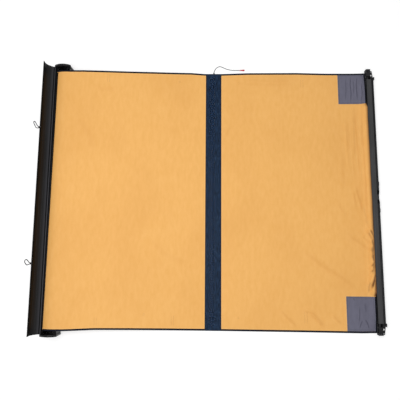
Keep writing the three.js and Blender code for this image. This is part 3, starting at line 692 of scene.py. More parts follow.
# Creases, in millimetres: the places along each, its width and its height
CREASES = (
    (((1716, -845), (1770, -905), (1840, -970)), 8, 3.2),
    (((1935, -870), (1990, -915), (2035, -970)), 8, 3.6),
    (((1878, -844), (1959, -872), (2052, -972)), 8, 3.0),
    (((2107, -884), (2171, -948)), 8, 2.8),
    (((1887, -397), (2050, -520), (2180, -600), (2276, -677)), 13, 2.6),
    (((2238, -278), (2318, -334), (2399, -395)), 11, 2.8),
    (((2354, -292), (2386, -326), (2414, -360)), 7, 2.8),
    (((2172, -30), (2207, -100), (2244, -139)), 9, 1.8),
    (((2322, 96), (2328, 41), (2344, -14), (2363, -115)), 8, 3.2),
    (((2302, 57), (2310, -22), (2319, -69)), 7, 2.6),
    (((2226, 376), (2218, 57)), 11, 1.6),
    (((2271, 621), (2268, 376)), 11, 1.6),
    (((2330, 740), (2324, 539), (2320, 295)), 8, 2.4),
    (((2390, 740), (2384, 579), (2381, 375)), 6, 2.4),
    (((2421, 700), (2415, 455), (2409, 214)), 5, 2.4),
    (((1336, 585), (1326, 545), (1312, 503)), 9, 2.0),
    (((1433, 975), (1600, 962), (1835, 955)), 10, 1.8),
    (((1405, 945), (1640, 934), (1880, 938)), 12, 1.4),
    (((260, 905), (310, 880), (420, 890)), 14, 1.6),
    (((120, 640), (210, 520), (260, 380)), 18, 1.5),
    (((700, -300), (820, -420), (1010, -500)), 20, 1.3),
)
# How much wider and higher than listed each crease is laid, and the painted shade that lies beside it
CREASE_SCALE = (1.7, 1.1)
FOLD_ASIDE = 1.3
FOLD_WIDER = 1.2
FOLD_DEEPEST = 9


RIDGE_TAPER = 4.5
RIDGE_TIP = 0.12


def ridge(x, y, line, width, height):
    """A rounded ridge along a line of places, fading at both ends."""
    rise = np.zeros_like(x)
    total = sum(math.dist(a, b) for a, b in zip(line, line[1:]))
    done = 0.0
    for a, b in zip(line, line[1:]):
        span = math.dist(a, b)
        along = ((x - a[0]) * (b[0] - a[0]) + (y - a[1]) * (b[1] - a[1])) / span
        across = ((x - a[0]) * (b[1] - a[1]) - (y - a[1]) * (b[0] - a[0])) / span
        beyond = np.maximum(0, np.maximum(-along, along - span))
        share = np.clip((done + np.clip(along, 0, span)) / total, 0, 1)
        fade = np.clip(RIDGE_TAPER * np.minimum(share, 1 - share) + RIDGE_TIP, 0, 1)
        rise = np.maximum(rise, fade * np.exp(-(across ** 2 + beyond ** 2) / width ** 2))
        done += span
    return height * rise


# Where the canopy is bunched against the bar: the ridges that stand up, and the painted shade between them
GATHERS = (
    (((2394, -238), (2410, -282), (2430, -318)), 9, 9),
    (((2410, -226), (2424, -258), (2434, -288)), 7, 8),
    (((2412, -332), (2418, -380), (2412, -428)), 9, 5),
    (((2406, -450), (2414, -482), (2408, -515)), 8, 4),
    (((2432, -496), (2418, -528), (2402, -556)), 8, 7),
    (((2430, -540), (2414, -572), (2396, -600)), 9, 6),
    (((2430, -570), (2408, -622), (2386, -676)), 9, 9),
    (((2434, -596), (2420, -660), (2408, -724)), 8, 8),
    (((2398, 690), (2402, 420), (2407, 120), (2404, -180)), 6, 3.5),
    (((2374, 660), (2380, 380), (2388, 60)), 7, 3),
    (((2338, 700), (2345, 450), (2356, 170)), 9, 3.5),
    (((2300, 640), (2306, 380), (2318, 120)), 9, 3),
    (((2262, 610), (2270, 400), (2279, 230)), 9, 2.5),
)
GATHER_SHADES = (
    (((2416, -250), (2426, -288), (2434, -325)), 7, 0.8),
    (((2400, -268), (2412, -300), (2424, -334)), 5, 0.35),
    (((2424, -328), (2429, -372), (2425, -432)), 6, 0.9),
    (((2430, -430), (2424, -462), (2429, -498)), 6, 0.9),
    (((2434, -484), (2424, -510), (2414, -530)), 6, 0.8),
    (((2434, -528), (2422, -552), (2410, -574)), 6, 0.6),
    (((2435, -566), (2424, -628), (2407, -694)), 7, 1.0),
    (((2400, -640), (2392, -684), (2388, -724)), 6, 0.3),
    (((2436, -598), (2433, -680), (2430, -775)), 9, 1.2),
    (((2391, 690), (2395, 420), (2400, 120), (2397, -180)), 5, 0.07),
    (((2366, 660), (2372, 380), (2380, 60)), 6, 0.06),
    (((2328, 700), (2335, 450), (2346, 170)), 7, 0.06),
    (((2290, 640), (2296, 380), (2308, 120)), 7, 0.05),
    (((2380, -60), (2396, -180), (2404, -236)), 7, 0.09),
)


# The laid canopy's waves: how many, their lengths in millimetres, their turns, and how they are scaled
WAVES = 16
WAVE_LENGTHS = (70, 420)
WAVE_TURN = 0.5
WAVE_SLOPE = 0.3 / 900
WAVE_LIFT = 0.7


def soft_waves(x, y):
    """The shallow waves of cloth that has been rolled up, in millimetres, longer along the case."""
    chance = np.random.default_rng(5)
    rise = np.zeros_like(x)
    for _ in range(WAVES):
        turn = chance.uniform(-WAVE_TURN, WAVE_TURN)
        length = chance.uniform(*WAVE_LENGTHS)
        phase = chance.uniform(0, 2 * math.pi)
        along = x * math.cos(turn) + y * math.sin(turn)
        rise += np.cos(2 * math.pi * along / length + phase) * length
    return WAVE_SLOPE * rise + WAVE_LIFT


# How far the wrinkles take to rise from each edge, and the smooth strips by lip and bar, in millimetres
LIP_FADE = 120
LIP_FLAT = 10
HEM_FADE = 22
SLEEVE_FADE = 18
BAR_FADE = 5
BAR_FLAT = 1


def edge_fade(x, y):
    """Falls to nothing where the canopy is sewn, clamped or stretched over the lip."""
    lip = np.clip((x - MM_PER_M * LIP_X - LIP_FLAT) / LIP_FADE, 0, 1)
    hem = np.clip((MM_PER_M * HEM_INNER - np.abs(y)) / HEM_FADE, 0, 1)
    middle = MM_PER_M * (SLEEVE_FROM + SLEEVE_TO) / 2
    half = MM_PER_M * (SLEEVE_TO - SLEEVE_FROM) / 2
    sleeve = np.clip((np.abs(x - middle) - half) / SLEEVE_FADE, 0, 1)
    bar = np.clip((MM_PER_M * BAR_BACK - BAR_FLAT - x) / BAR_FADE, 0, 1)
    return lip * hem * sleeve * bar


def canopy_relief(x, y):
    """Wrinkles of the laid canopy over its smooth course, in metres."""
    x, y = in_mm(x, y)
    rise = np.maximum(0, soft_waves(x, y))
    wider, higher = CREASE_SCALE
    for line, width, height in CREASES:
        rise += ridge(x, y, line, wider * width, higher * height)
    for line, width, height in GATHERS:
        rise += ridge(x, y, line, width, height)
    return (np.maximum(0, rise * edge_fade(x, y)) + slack_roll(x, y)) * MM


def canopy_fold_shade(x, y):
    """Painted shade in the folds, from 0 to 1, darkest beside each crease."""
    x, y = in_mm(x, y)
    deep = np.zeros_like(x)
    for line, width, height in CREASES:
        beside = tuple((px + width * FOLD_ASIDE, py - width * FOLD_ASIDE) for px, py in line)
        deep = np.maximum(deep, ridge(x, y, beside, width * FOLD_WIDER, height / FOLD_DEEPEST))
    return np.clip(deep, 0, 1)


# Painted shade on the cloth along the bar, in millimetres: the band's width, and the wavy band where the cloth is
# bunched
BAR_SHADE_FLAT = 2
BAR_SHADE_WIDTH = 19
BAR_SHADE_FALL = 1.3
BUNCH_WIDTH = 21
BUNCH_WAVE = (5, 13, 31)
BUNCH_EDGE = 8
BUNCH_FROM = (-290, 45)
BUNCH_TO = (-600, 60)
BUNCH_SHADE = 0.66


def canopy_painted_bar_shade(x, y):
    """Painted shade on the canopy, from 0 to 1: a band where it rises to the bar's edge, and between its gathers
    there.
    """
    x, y = in_mm(x, y)
    short = MM_PER_M * BAR_BACK - BAR_SHADE_FLAT - x
    painted_shade = np.clip(1 - short / BAR_SHADE_WIDTH, 0, 1) ** BAR_SHADE_FALL
    (start, start_fade), (end, end_fade) = BUNCH_FROM, BUNCH_TO
    bunched = np.clip((start - y) / start_fade, 0, 1) * np.clip((y - end) / end_fade, 0, 1)
    wave, first_length, second_length = BUNCH_WAVE
    reach = BUNCH_WIDTH + wave * np.cos(y / first_length) * np.cos(y / second_length)
    painted_shade = np.maximum(painted_shade, BUNCH_SHADE * np.clip((reach - short) / BUNCH_EDGE, 0, 1) * bunched)
    for line, width, depth in GATHER_SHADES:
        painted_shade = np.maximum(painted_shade, ridge(x, y, line, width, depth))
    return np.clip(painted_shade, 0, 1)


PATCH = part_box("corner_patch_left")
PATCH_INNER = PATCH[0].y
SEAM_REACH = 5 * MM


def canopy_seams(x, y):
    """A painted highlight along the seams, from 0 to 1: at the hems, the sleeve's edges and round the corner
    patches.
    """
    hem = 1 - (HEM_INNER - np.abs(y)) / SEAM_REACH
    sleeve = 1 - np.minimum(np.abs(x - SLEEVE_FROM), np.abs(x - SLEEVE_TO)) / SEAM_REACH
    past_patch = np.hypot(np.maximum(0, PATCH[0].x - x), np.maximum(0, PATCH_INNER - np.abs(y)))
    patch = np.where(past_patch > 0, 1 - past_patch / SEAM_REACH, 0)
    return np.clip(np.maximum(np.maximum(hem, sleeve), patch), 0, 1)


# How far each hem bows out, in millimetres, at distances out along the canopy
HEM_BOWS = {
    1: (
        (60, 170, 330, 730, 1040, 1150, 1290, 1500, 1890, 2130, 2330, 2437),
        (2, 7, 9, 10, 8, 0.5, 0.5, 6, 4, -4, -6, -5),
    ),
    -1: (
        (60, 90, 170, 330, 730, 1200, 1890, 2330, 2437),
        (4, 5, 3, -3, -1, 2, 3, 5, 2),
    ),
}
BOWED_FROM = 750 * MM


def hem_drift(x, side):
    """How far a hem bows out, in metres, at places out along the canopy."""
    return np.interp(in_mm(x)[0], *HEM_BOWS[side]) * MM


def bowed(x, y):
    """Places of the canopy's cloth, drawn out along its sides to where the hems are."""
    share = np.clip((np.abs(y) - BOWED_FROM) / (HEM_INNER - BOWED_FROM), 0, 1)
    return y + np.where(y > 0, hem_drift(x, 1), -hem_drift(x, -1)) * share


def sheet_of_cloth(name, xs, ys, middle, thickness, material, drawn=None, slanted=None):
    """A closed thin sheet over a grid of places, whose middle layer lies at the heights of a function."""
    x, y = np.meshgrid(xs, ys, indexing="ij")
    x = x if slanted is None else slanted(x, y)
    z = middle(x, y)
    laid = y if drawn is None else drawn(x, y)
    upper = np.stack((x, laid, z + thickness / 2), axis=-1).reshape(-1, 3)
    lower = np.stack((x, laid, z - thickness / 2), axis=-1).reshape(-1, 3)
    count = len(upper)
    index = np.arange(count).reshape(x.shape)
    faces = np.stack((index[:-1, :-1], index[1:, :-1], index[1:, 1:], index[:-1, 1:]), axis=-1).reshape(-1, 4)
    rim = np.concatenate((index[:, 0], index[-1, 1:], index[-2::-1, -1], index[0, -2:0:-1]))
    ahead = np.roll(rim, -1)
    sides = np.stack((ahead, rim, rim + count, ahead + count), axis=-1)
    faces = np.concatenate((faces, faces[:, ::-1] + count, sides))
    made = mesh_object(name, np.concatenate((upper, lower)).tolist(), faces.tolist(), material, 60)
    return made, np.tile(x.ravel(), 2), np.tile(y.ravel(), 2)


# Where the canopy's length is measured, in millimetres from its middle
MIDDLE_ROW = 0.0


def run_length(xs, row):
    """Length of the canopy's cloth along its course and its slack, in metres."""
    z = canopy_height(xs) + slack_roll(MM_PER_M * xs, row) * MM
    return float(np.sum(np.hypot(np.diff(xs), np.diff(z))))


def joined(*runs):
    """Places along a line, in stretches that each start where the one before ends."""
    places = [np.linspace(start, end, count)[:-1] for start, end, count in runs]
    return np.concatenate((*places, [runs[-1][1]]))


def slide_travel(name):
    """How far a sliding joint goes, with the one that it follows."""
    ranges = {joint["name"]: joint.get("range_m") for joint in frame["joints"]}
    for coupling in frame["record"]["behaviour"]["couplings"]:
        if coupling["joint"] == name:
            return coupling["ratio"] * slide_travel(coupling["follows"])
    return max(abs(limit) for limit in ranges[name])


REAR_REACH = SLEEVE_FROM - TAIL_END
FRONT_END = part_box("canopy_panel_front")[1].x
FRONT_REACH = FRONT_END - SLEEVE_TO
SLEEVE_TRAVEL = slide_travel("sleeve_slide")
BAR_TRAVEL = slide_travel("bar_slide")
# Each part of the canopy: its body, where it bunches up to as the bar goes home, and what share is left then
PARTS = {
    "tail": ("case", None, None),
    "rear": ("case", TAIL_END, 1 - SLEEVE_TRAVEL / REAR_REACH),
    "front": ("front_bar", FRONT_END, 1 - (BAR_TRAVEL - SLEEVE_TRAVEL) / FRONT_REACH),
}
UNDER_SLEEVE = 5 * MM
PANEL_HALF = HEM_INNER + 3 * MM
# The cloth's grid is finer where it bends more: over the lip, at the bar and in the right part
LIP_BEND_END = 200 * MM
SLACK_FROM = 2200 * MM
SLACK_CREST_SPAN = 8 * MM
FINE_TO = -200 * MM
FINE_STEP = 5 * MM


def sewn_to(made, part, slot, *nodes):
    """Fastens a piece to the body of a part of the canopy, and gives it a mesh of its own if that part bunches up.
    """
    body, anchor_x, keep = PARTS[part]
    stand_for(made, body, slot, *nodes)
    if keep is not None:
        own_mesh(made)
    return made


def canopy_panels():
    """The canopy's two panels. The rear one is cut at the lip, where its tail stays in the case."""
    ys = np.concatenate((np.arange(-PANEL_HALF, FINE_TO, FINE_STEP), np.linspace(FINE_TO, PANEL_HALF, 170)))
    crest = FRONT_END - SLACK_CREST_SPAN
    tail_xs = np.linspace(TRACK.x + 3 * MM, TAIL_END, 60)
    rear_xs = joined((TAIL_END, LIP_BEND_END, 30), (LIP_BEND_END, SLEEVE_FROM + UNDER_SLEEVE, 140))
    front_from = SLEEVE_TO - UNDER_SLEEVE
    front_xs = joined((front_from, SLACK_FROM, 160), (SLACK_FROM, crest, 70), (crest, FRONT_END, 14))

    def middle(x, y):
        return canopy_height(x) + canopy_relief(x, y)

    runs = {
        "tail": (tail_xs, "canopy_panel_rear"),
        "rear": (rear_xs, "canopy_panel_rear"),
        "front": (front_xs, "canopy_panel_front"),
    }
    made = {}
    for part, (xs, node) in runs.items():
        panel, x, y = sheet_of_cloth(f"canopy_{part}", xs, ys, middle, CLOTH_THICKNESS, ORANGE, bowed)
        dye(panel, "fold_shade", canopy_fold_shade(x, y))
        dye(panel, "seam", canopy_seams(x, y))
        dye(panel, "bar_shade", canopy_painted_bar_shade(x, y))
        sewn_to(panel, part, "orange_canvas", node)
        made[part] = (panel, (2 * PANEL_HALF, run_length(xs, MIDDLE_ROW)))
    return made


# The folded tape's section as (out from the canopy, up), in millimetres
HEM_SECTION = (
    (14.0, -0.5), (13.7, -1.0), (13.0, -1.3), (1.2, -1.25), (0.3, -1.0), (0.0, -0.6), (0.0, 0.6), (0.3, 1.0),
    (1.2, 1.25), (13.0, 1.3), (13.7, 1.0), (14.0, 0.5),
)


def hem_strip(name, xs, side):
    """Folded tape along one side of the canopy."""
    rings = []
    for x in xs:
        z = float(canopy_height(x))
        edge = HEM_INNER + float(hem_drift(x, side))
        rings.append([(x, side * (edge + out * MM), z + up * MM) for out, up in HEM_SECTION])
    return through_rings(name, rings, TAPE, 50)


def hems():
    """The folded tape along both sides of each panel."""
    runs = {
        "tail": (np.linspace(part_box("hem_rear_left")[0].x, TAIL_END, 40), "hem_rear"),
        "rear": (np.linspace(TAIL_END, SLEEVE_FROM, 120), "hem_rear"),
        "front": (np.linspace(SLEEVE_TO, FRONT_END, 120), "hem_front"),
    }
    made = {"tail": [], "rear": [], "front": []}
    for part, (xs, node) in runs.items():
        for side_name, side in SIDES.items():
            strip = hem_strip(f"hem_tape_{part}_{side_name}", xs, side)
            made[part].append(sewn_to(strip, part, "hem_tape", f"{node}_{side_name}"))
    return made


# A stitch's points: along it as shares of its length, across and up as shares of the thread's width
STITCH_FORM = (
    (-0.5, 0, 0), (-0.28, -0.5, 0.1), (-0.28, 0, 0.62), (-0.28, 0.5, 0.1), (-0.28, 0, -0.35),
    (0.28, -0.5, 0.1), (0.28, 0, 0.62), (0.28, 0.5, 0.1), (0.28, 0, -0.35), (0.5, 0, 0),
)
STITCH_FACES = [(0, 1 + (k + 1) % 4, 1 + k) for k in range(4)]
STITCH_FACES += [(1 + k, 1 + (k + 1) % 4, 5 + (k + 1) % 4, 5 + k) for k in range(4)]
STITCH_FACES += [(5 + k, 5 + (k + 1) % 4, 9) for k in range(4)]


def stitching(name, rows, stitch_mm, gap_mm, thread_mm, material, surface):
    """Short stitches along rows of places, on a cloth whose upper face is at the heights of a function."""
    middles, aheads = [], []
    pitch = (stitch_mm + gap_mm) * MM
    for row in rows:
        for a, b in zip(row, row[1:]):
            span = math.dist(a, b)
            ahead = np.subtract(b, a) / span
            for i in range(max(1, int(span / pitch))):
                middles.append(np.add(a, ahead * (i + 0.5) * pitch))
                aheads.append(ahead)
    middles, aheads = np.array(middles), np.array(aheads)
    asides = np.stack((-aheads[:, 1], aheads[:, 0]), axis=1)
    corners = []
    for along, out, up in STITCH_FORM:
        foot = middles + aheads * along * stitch_mm * MM
        spot = foot + asides * out * thread_mm * MM
        corners.append(np.column_stack((spot, surface(foot[:, 0], foot[:, 1]) + up * thread_mm * MM)))
    vertices = np.stack(corners, axis=1).reshape(-1, 3)
    firsts = range(0, len(STITCH_FORM) * len(middles), len(STITCH_FORM))
    faces = [tuple(first + k for k in face) for first in firsts for face in STITCH_FACES]
    return mesh_object(name, vertices.tolist(), faces, material, 80)


def canopy_top(x, y):
    return canopy_height(x) + canopy_relief(x, y) + CLOTH_THICKNESS / 2


def hem_top(x, y):
    return canopy_height(x) + HEM_THICKNESS / 2


# Straps are sewn to the canopy's other face: their rows of stitches show here, in millimetres
STRAP_ROWS = {
    "rear": (
        ((361, 929), (361, 998)), ((377, 929), (377, 998)), ((935, 941), (953, 941)),
        ((935, 951), (953, 951)), ((332, -923), (332, -984)), ((348, -923), (348, -984)),
        ((688, -906), (706, -906)), ((688, -896), (706, -896)), ((906, -910), (906, -984)),
        ((922, -910), (922, -984)),
    ),
    "front": (
        ((1417, 929), (1434, 929)), ((1417, 939), (1434, 939)), ((1925, 896), (1925, 964)),
        ((1943, 896), (1943, 964)), ((1405, -915), (1422, -915)), ((1405, -925), (1422, -925)),
        ((1908, -872), (1908, -959)), ((1926, -872), (1926, -959)),
    ),
}
HEM_ROWS = (2.2 * MM, 10.8 * MM)
SEAM_END = 4 * MM


def seams_of_the_canopy():
    """Stitches along the hems and where straps are sewn on."""
    runs = {
        "rear": np.linspace(TAIL_END + SEAM_END, SLEEVE_FROM, 12),
        "front": np.linspace(SLEEVE_TO, FRONT_END - SEAM_END, 12),
    }
    made = {"tail": []}
    for part, xs in runs.items():
        rows = []
        for side in SIDES.values():
            for inset in HEM_ROWS:
                edge = HEM_INNER + inset
                rows.append([(x, side * (edge + float(hem_drift(x, side)))) for x in xs])
        hem_rows = stitching(f"hem_stitches_{part}", rows, 3.2, 1.0, 0.7, DARK_THREAD, hem_top)
        straps = [[(x * MM, y * MM) for x, y in row] for row in STRAP_ROWS[part]]
        strap_rows = stitching(f"strap_stitches_{part}", straps, 3.4, 1.0, 1.3, STRAP_THREAD, canopy_top)
        made[part] = [sewn_to(hem_rows, part, "hem_tape"), sewn_to(strap_rows, part, "orange_canvas")]
    return made


KEDER_TAPE_FROM = TRACK.x + 3.2 * MM
KEDER_TAPE_TO = -41 * MM
KEDER_TAPE_SLANT = 5.5 * MM
KEDER_TAPE_THICKNESS = 0.7 * MM
KEDER_TAPE_LIFT = 0.1 * MM


def keder_tape():
    """The black coated tape that the rear keder is sewn into, along the edge that enters the case's track; its
    black also stands in for the shade in the gap beside the lid. It lies slightly askew, so more of it shows at
    the left."""
    xs = np.linspace(KEDER_TAPE_FROM, KEDER_TAPE_TO, 12)
    ys = np.linspace(-HEM_INNER, HEM_INNER, 120)

    def slanted(x, y):
        share = (x - KEDER_TAPE_FROM) / (KEDER_TAPE_TO - KEDER_TAPE_FROM)
        return x + share * y / HEM_INNER * KEDER_TAPE_SLANT

    def middle(x, y):
        return canopy_height(x) + CLOTH_THICKNESS + KEDER_TAPE_LIFT

    tape, _, _ = sheet_of_cloth("keder_tape", xs, ys, middle, KEDER_TAPE_THICKNESS, RUBBER, slanted=slanted)
    return stand_for(tape, "case", "hem_tape")


def lay_canopy():
    """The canopy's panels, each with the tapes and threads that are sewn to it."""
    panels = canopy_panels()
    tapes = hems()
    tapes["tail"].append(keder_tape())
    threads = seams_of_the_canopy()


lay_canopy()


# Light sleeve

SLEEVE_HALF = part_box("light_sleeve")[1].y
SLEEVE_THICKNESS = 0.5 * MM
SLEEVE_LIFT = 0.9 * MM
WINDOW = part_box("light_window")
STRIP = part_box("led_strip")
STRIP_MIDDLE = (STRIP[0].x + STRIP[1].x) / 2
STRIP_HALF = (STRIP[1].x - STRIP[0].x) / 2
STRIP_LIFT = 0.35 * MM
STRIP_HEIGHT = 1.9 * MM
# The light strip's section, as shares of its half width and its height
STRIP_SECTION = (
    (-1, 0), (1, 0), (0.98, 0.45), (0.86, 0.82), (0.6, 1), (0, 1.05), (-0.6, 1), (-0.86, 0.82), (-0.98, 0.45),
)
FILM_THICKNESS = 0.3 * MM
FILM_LIFT = 0.45 * MM
FILM_STEP = 0.55 * MM
# The window's dome over the strip: its height, its flat edge, and how far it takes to rise
FILM_DOME = 2.6 * MM
FILM_EDGE = 5 * MM
FILM_RISE = 10 * MM
# The sleeve's rumples, in millimetres: their lengths and height, and where they fade
RUMPLES = 10
RUMPLE_ACROSS = (14, 40)
RUMPLE_ALONG = (120, 500)
RUMPLE_HEIGHT = 0.11
RUMPLE_FLAT = 6
RUMPLE_FADE = 10
WINDOW_FADE = 6
# The sleeve's rows of stitches: how far they are from its edges and its ends, and from the window's
SLEEVE_ROWS = (2.5 * MM, 8.5 * MM)
SLEEVE_ROW_END = 4 * MM
SLEEVE_SEAM = 6 * MM
WINDOW_ROW = 2 * MM


def sleeve_chord(x):
    """The sleeve is flat between its two edges."""
    ends = canopy_height(np.array([SLEEVE_FROM, SLEEVE_TO]))
    return ends[0] + (ends[1] - ends[0]) * (np.asarray(x) - SLEEVE_FROM) / (SLEEVE_TO - SLEEVE_FROM)


def sleeve_middle(x, y):
    """The sleeve's cloth: flat at its sewn edges and under the window, and faintly rumpled between them."""
    mm_x, mm_y = in_mm(x, y)
    chance = np.random.default_rng(3)
    rumple = np.zeros_like(mm_x)
    for _ in range(RUMPLES):
        across, along = chance.uniform(*RUMPLE_ACROSS), chance.uniform(*RUMPLE_ALONG)
        way = chance.choice((-1, 1))
        phase = chance.uniform(0, 6.3)
        rumple += np.cos(2 * math.pi * (mm_x / across + mm_y / along * way) + phase)
    from_edge = np.minimum(mm_x - MM_PER_M * SLEEVE_FROM, MM_PER_M * SLEEVE_TO - mm_x)
    inside = np.clip((from_edge - RUMPLE_FLAT) / RUMPLE_FADE, 0, 1)
    from_window = np.maximum(MM_PER_M * WINDOW[0].x - mm_x, mm_x - MM_PER_M * WINDOW[1].x)
    beside = np.clip(from_window / WINDOW_FADE, 0, 1)
    return sleeve_chord(x) + SLEEVE_LIFT + RUMPLE_HEIGHT * MM * np.maximum(0, rumple) * inside * beside


def sleeve_cloth():
    """The navy cloth of the sleeve, laid across the canopy."""
    xs = np.linspace(SLEEVE_FROM, SLEEVE_TO, 49)
    ys = np.linspace(-SLEEVE_HALF, SLEEVE_HALF, 320)
    cloth, x, y = sheet_of_cloth("sleeve_cloth", xs, ys, sleeve_middle, SLEEVE_THICKNESS, NAVY, bowed)
    edge = np.minimum(x - SLEEVE_FROM, SLEEVE_TO - x)
    dye(cloth, "seam", np.clip(1.6 - edge / SLEEVE_SEAM, 0, 1))
    return stand_for(cloth, "light_strip", "navy_canvas", "light_sleeve")


def light_strip(base):
    """The unlit strip of lights, under the window."""
    foot = base + STRIP_LIFT
    section = [(STRIP_MIDDLE + STRIP_HALF * across, foot + STRIP_HEIGHT * up) for across, up in STRIP_SECTION]
    strip = extrude_along_y("led_tape", section, STRIP[0].y, STRIP[1].y, LED, 60)
    return stand_for(strip, "light_strip", "led_tape", "led_strip")


def clear_window(base):
    """The clear film, domed over the strip."""
    half = (WINDOW[1].x - WINDOW[0].x) / 2
    xs = np.linspace(WINDOW[0].x, WINDOW[1].x, 31)
    ys = np.linspace(WINDOW[0].y, WINDOW[1].y, 160)

    def middle(x, y):
        aside = np.abs(np.asarray(x) - STRIP_MIDDLE)
        dome = np.clip(half - aside - FILM_EDGE, 0, FILM_RISE) / FILM_RISE
        return base + FILM_LIFT + FILM_DOME * np.sin(0.5 * math.pi * dome) ** 2

    film, _, _ = sheet_of_cloth("window_film", xs, ys, middle, FILM_THICKNESS, FILM)
    return stand_for(film, "light_strip", "clear_film", "light_window")


def sleeve_stitches():
    """Rows of stitches along the sleeve's edges and the window's."""
    def top(x, y):
        on_film = (x > WINDOW[0].x) & (x < WINDOW[1].x)
        return sleeve_middle(x, y) + SLEEVE_THICKNESS / 2 + FILM_STEP * on_film

    near, far = SLEEVE_ROWS
    reach = SLEEVE_HALF - SLEEVE_ROW_END
    rows = []
    for x in (SLEEVE_FROM + near, SLEEVE_FROM + far, SLEEVE_TO - far, SLEEVE_TO - near):
        rows.append([(x, -reach), (x, reach)])
    for x in (WINDOW[0].x + WINDOW_ROW, WINDOW[1].x - WINDOW_ROW):
        rows.append([(x, WINDOW[0].y + WINDOW_ROW), (x, WINDOW[1].y - WINDOW_ROW)])
    thread = stitching("sleeve_stitches", rows, 3.4, 1.0, 0.8, DARK_THREAD, top)
    return stand_for(thread, "light_strip", "navy_canvas")


def light_sleeve():
    """The sleeve across the canopy, with its light strip, window and stitches."""
    base = float(sleeve_chord(SLEEVE_FROM)) + SLEEVE_LIFT
    cloth = sleeve_cloth()
    pieces = [light_strip(base), clear_window(base), sleeve_stitches()]


light_sleeve()


# Corner patches and their bindings

# Each patch's own folds, in millimetres: the places along each, its width and its height
PATCH_FOLDS = {
    "left": (
        (((2321, 990), (2315, 922), (2320, 854), (2314, 766)), 5, 2.4),
        (((2372, 987), (2363, 920), (2364, 869), (2368, 790)), 5, 2.2),
        (((2404, 933), (2406, 849), (2398, 762)), 4.5, 2.4),
        (((2279, 973), (2279, 872), (2270, 779)), 7, 1.2),
        (((2340, 960), (2343, 900), (2338, 840)), 6, 1.2),
    ),
    "right": (
        (((2312, -830), (2312, -881), (2305, -939)), 5, 1.6),
        (((2350, -916), (2367, -948), (2377, -984)), 5, 2.4),
        (((2330, -924), (2317, -953), (2307, -982)), 5, 1.8),
        (((2268, -765), (2279, -783)), 5, 1.4),
        (((2352, -800), (2356, -870)), 9, 1.0),
    ),
}
PATCH_GAP = 0.15 * MM
PATCH_FADE = 6 * MM
PATCH_ROWS = (2.4 * MM, 9 * MM)
# How strongly the inner row of stitches gets painted shade and the edge a painted highlight, and how wide each is
PATCH_ROW_SHADE = (0.55, 2.5 * MM)
PATCH_SEAM = (0.6, 4 * MM)
BINDING_LIFT = 0.45 * MM
BINDING_THICKNESS = 1.2 * MM


def corner_patch(side_name):
    """A grey patch laid over the canopy's corner, with its own folds and two rows of stitches."""
    low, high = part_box(f"corner_patch_{side_name}")
    folds = PATCH_FOLDS[side_name]
    xs = np.linspace(low.x, high.x, 80)
    ys = np.linspace(low.y, high.y, 92)

    def from_edge(x, y):
        return np.minimum.reduce([x - low.x, high.x - x, y - low.y, high.y - y])

    def middle(x, y):
        mm_x, mm_y = in_mm(x, y)
        own = sum(ridge(mm_x, mm_y, line, width, height) for line, width, height in folds)
        own = own * np.clip(from_edge(x, y) / PATCH_FADE, 0, 1) * MM
        return canopy_height(x) + canopy_relief(x, y) + own + CLOTH_THICKNESS + PATCH_GAP

    def top(x, y):
        return middle(x, y) + CLOTH_THICKNESS / 2

    patch, x, y = sheet_of_cloth(f"patch_cloth_{side_name}", xs, ys, middle, CLOTH_THICKNESS, GREY, bowed)
    # Painted shade beside each of the patch's folds and along its inner row of stitches
    shade = np.zeros_like(x)
    mm_x, mm_y = in_mm(x, y)
    for line, width, height in folds:
        aside = tuple((px + width * 0.7, py) for px, py in line)
        shade = np.maximum(shade, ridge(mm_x, mm_y, aside, width * 0.7, height / 2.2))
    edge = from_edge(x, y)
    row_shade, row_width = PATCH_ROW_SHADE
    inner_row = np.clip(1 - np.abs(edge - PATCH_ROWS[1]) / row_width, 0, 1)
    dye(patch, "fold_shade", np.clip(np.maximum(shade, row_shade * inner_row), 0, 1))
    seam_shade, seam_width = PATCH_SEAM
    dye(patch, "seam", np.clip(1 - edge / seam_width, 0, 1) * seam_shade)
    sewn_to(patch, "front", "grey_canvas", f"corner_patch_{side_name}")
    rows = []
    for inset in PATCH_ROWS:
        x_from, x_to = low.x + inset, high.x - inset
        y_from, y_to = low.y + inset, high.y - inset
        rows.append([(x_from, y_from), (x_from, y_to), (x_to, y_to), (x_to, y_from), (x_from, y_from)])
    thread = stitching(f"patch_stitches_{side_name}", rows, 3.2, 1.0, 0.9, DARK_THREAD, top)
    sewn_to(thread, "front", "grey_canvas")


def patch_binding(side_name):
    """The black tape between a corner patch and the bar."""
    low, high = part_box(f"patch_binding_{side_name}")
    crest = high.x - SLACK_CREST_SPAN
    xs = joined((low.x, crest, 12), (crest, high.x, 14))
    ys = np.linspace(low.y, high.y, 92)

    def middle(x, y):
        return canopy_height(x) + canopy_relief(x, y) + CLOTH_THICKNESS + BINDING_LIFT

    tape, _, _ = sheet_of_cloth(f"binding_{side_name}", xs, ys, middle, BINDING_THICKNESS, TAPE, bowed)
    stand_for(tape, "front_bar", "hem_tape", f"patch_binding_{side_name}")


def corner_patches():
    for side_name in SIDES:
        corner_patch(side_name)
        patch_binding(side_name)


corner_patches()


# Lid

LID_CHORD = 120 * MM
LID_RISE = 23 * MM
LID_WALL = 2.2 * MM
LID_TIP = 2.4 * MM
LID_BEAD = 3.2 * MM
LID_TURN = math.radians(114)
LID_HINGE = (-57 * MM, 100 * MM)
LID_RADIUS = ((LID_CHORD / 2) ** 2 + LID_RISE ** 2) / (2 * LID_RISE)
LID_CENTRE = (LID_CHORD / 2, LID_RISE - LID_RADIUS)
LID_HALF_TURN = math.asin(LID_CHORD / 2 / LID_RADIUS)
LID_RIBS = (0.46, 0.69)
LID_RIB_WIDTH = 1 / 150
LID_RIB_HEIGHT = 1.2 * MM
LID_STEPS = {"outside": 70, "inside": 240, "tip": 14, "bead": 18}
# The gasket's edges as shares of the arch, and its faces' depths from the lid's inner face
LID_GASKET = (0.9, 0.96)
GASKET_FACES = (1.9 * MM, -0.1 * MM)
GASKET_END = 2 * MM


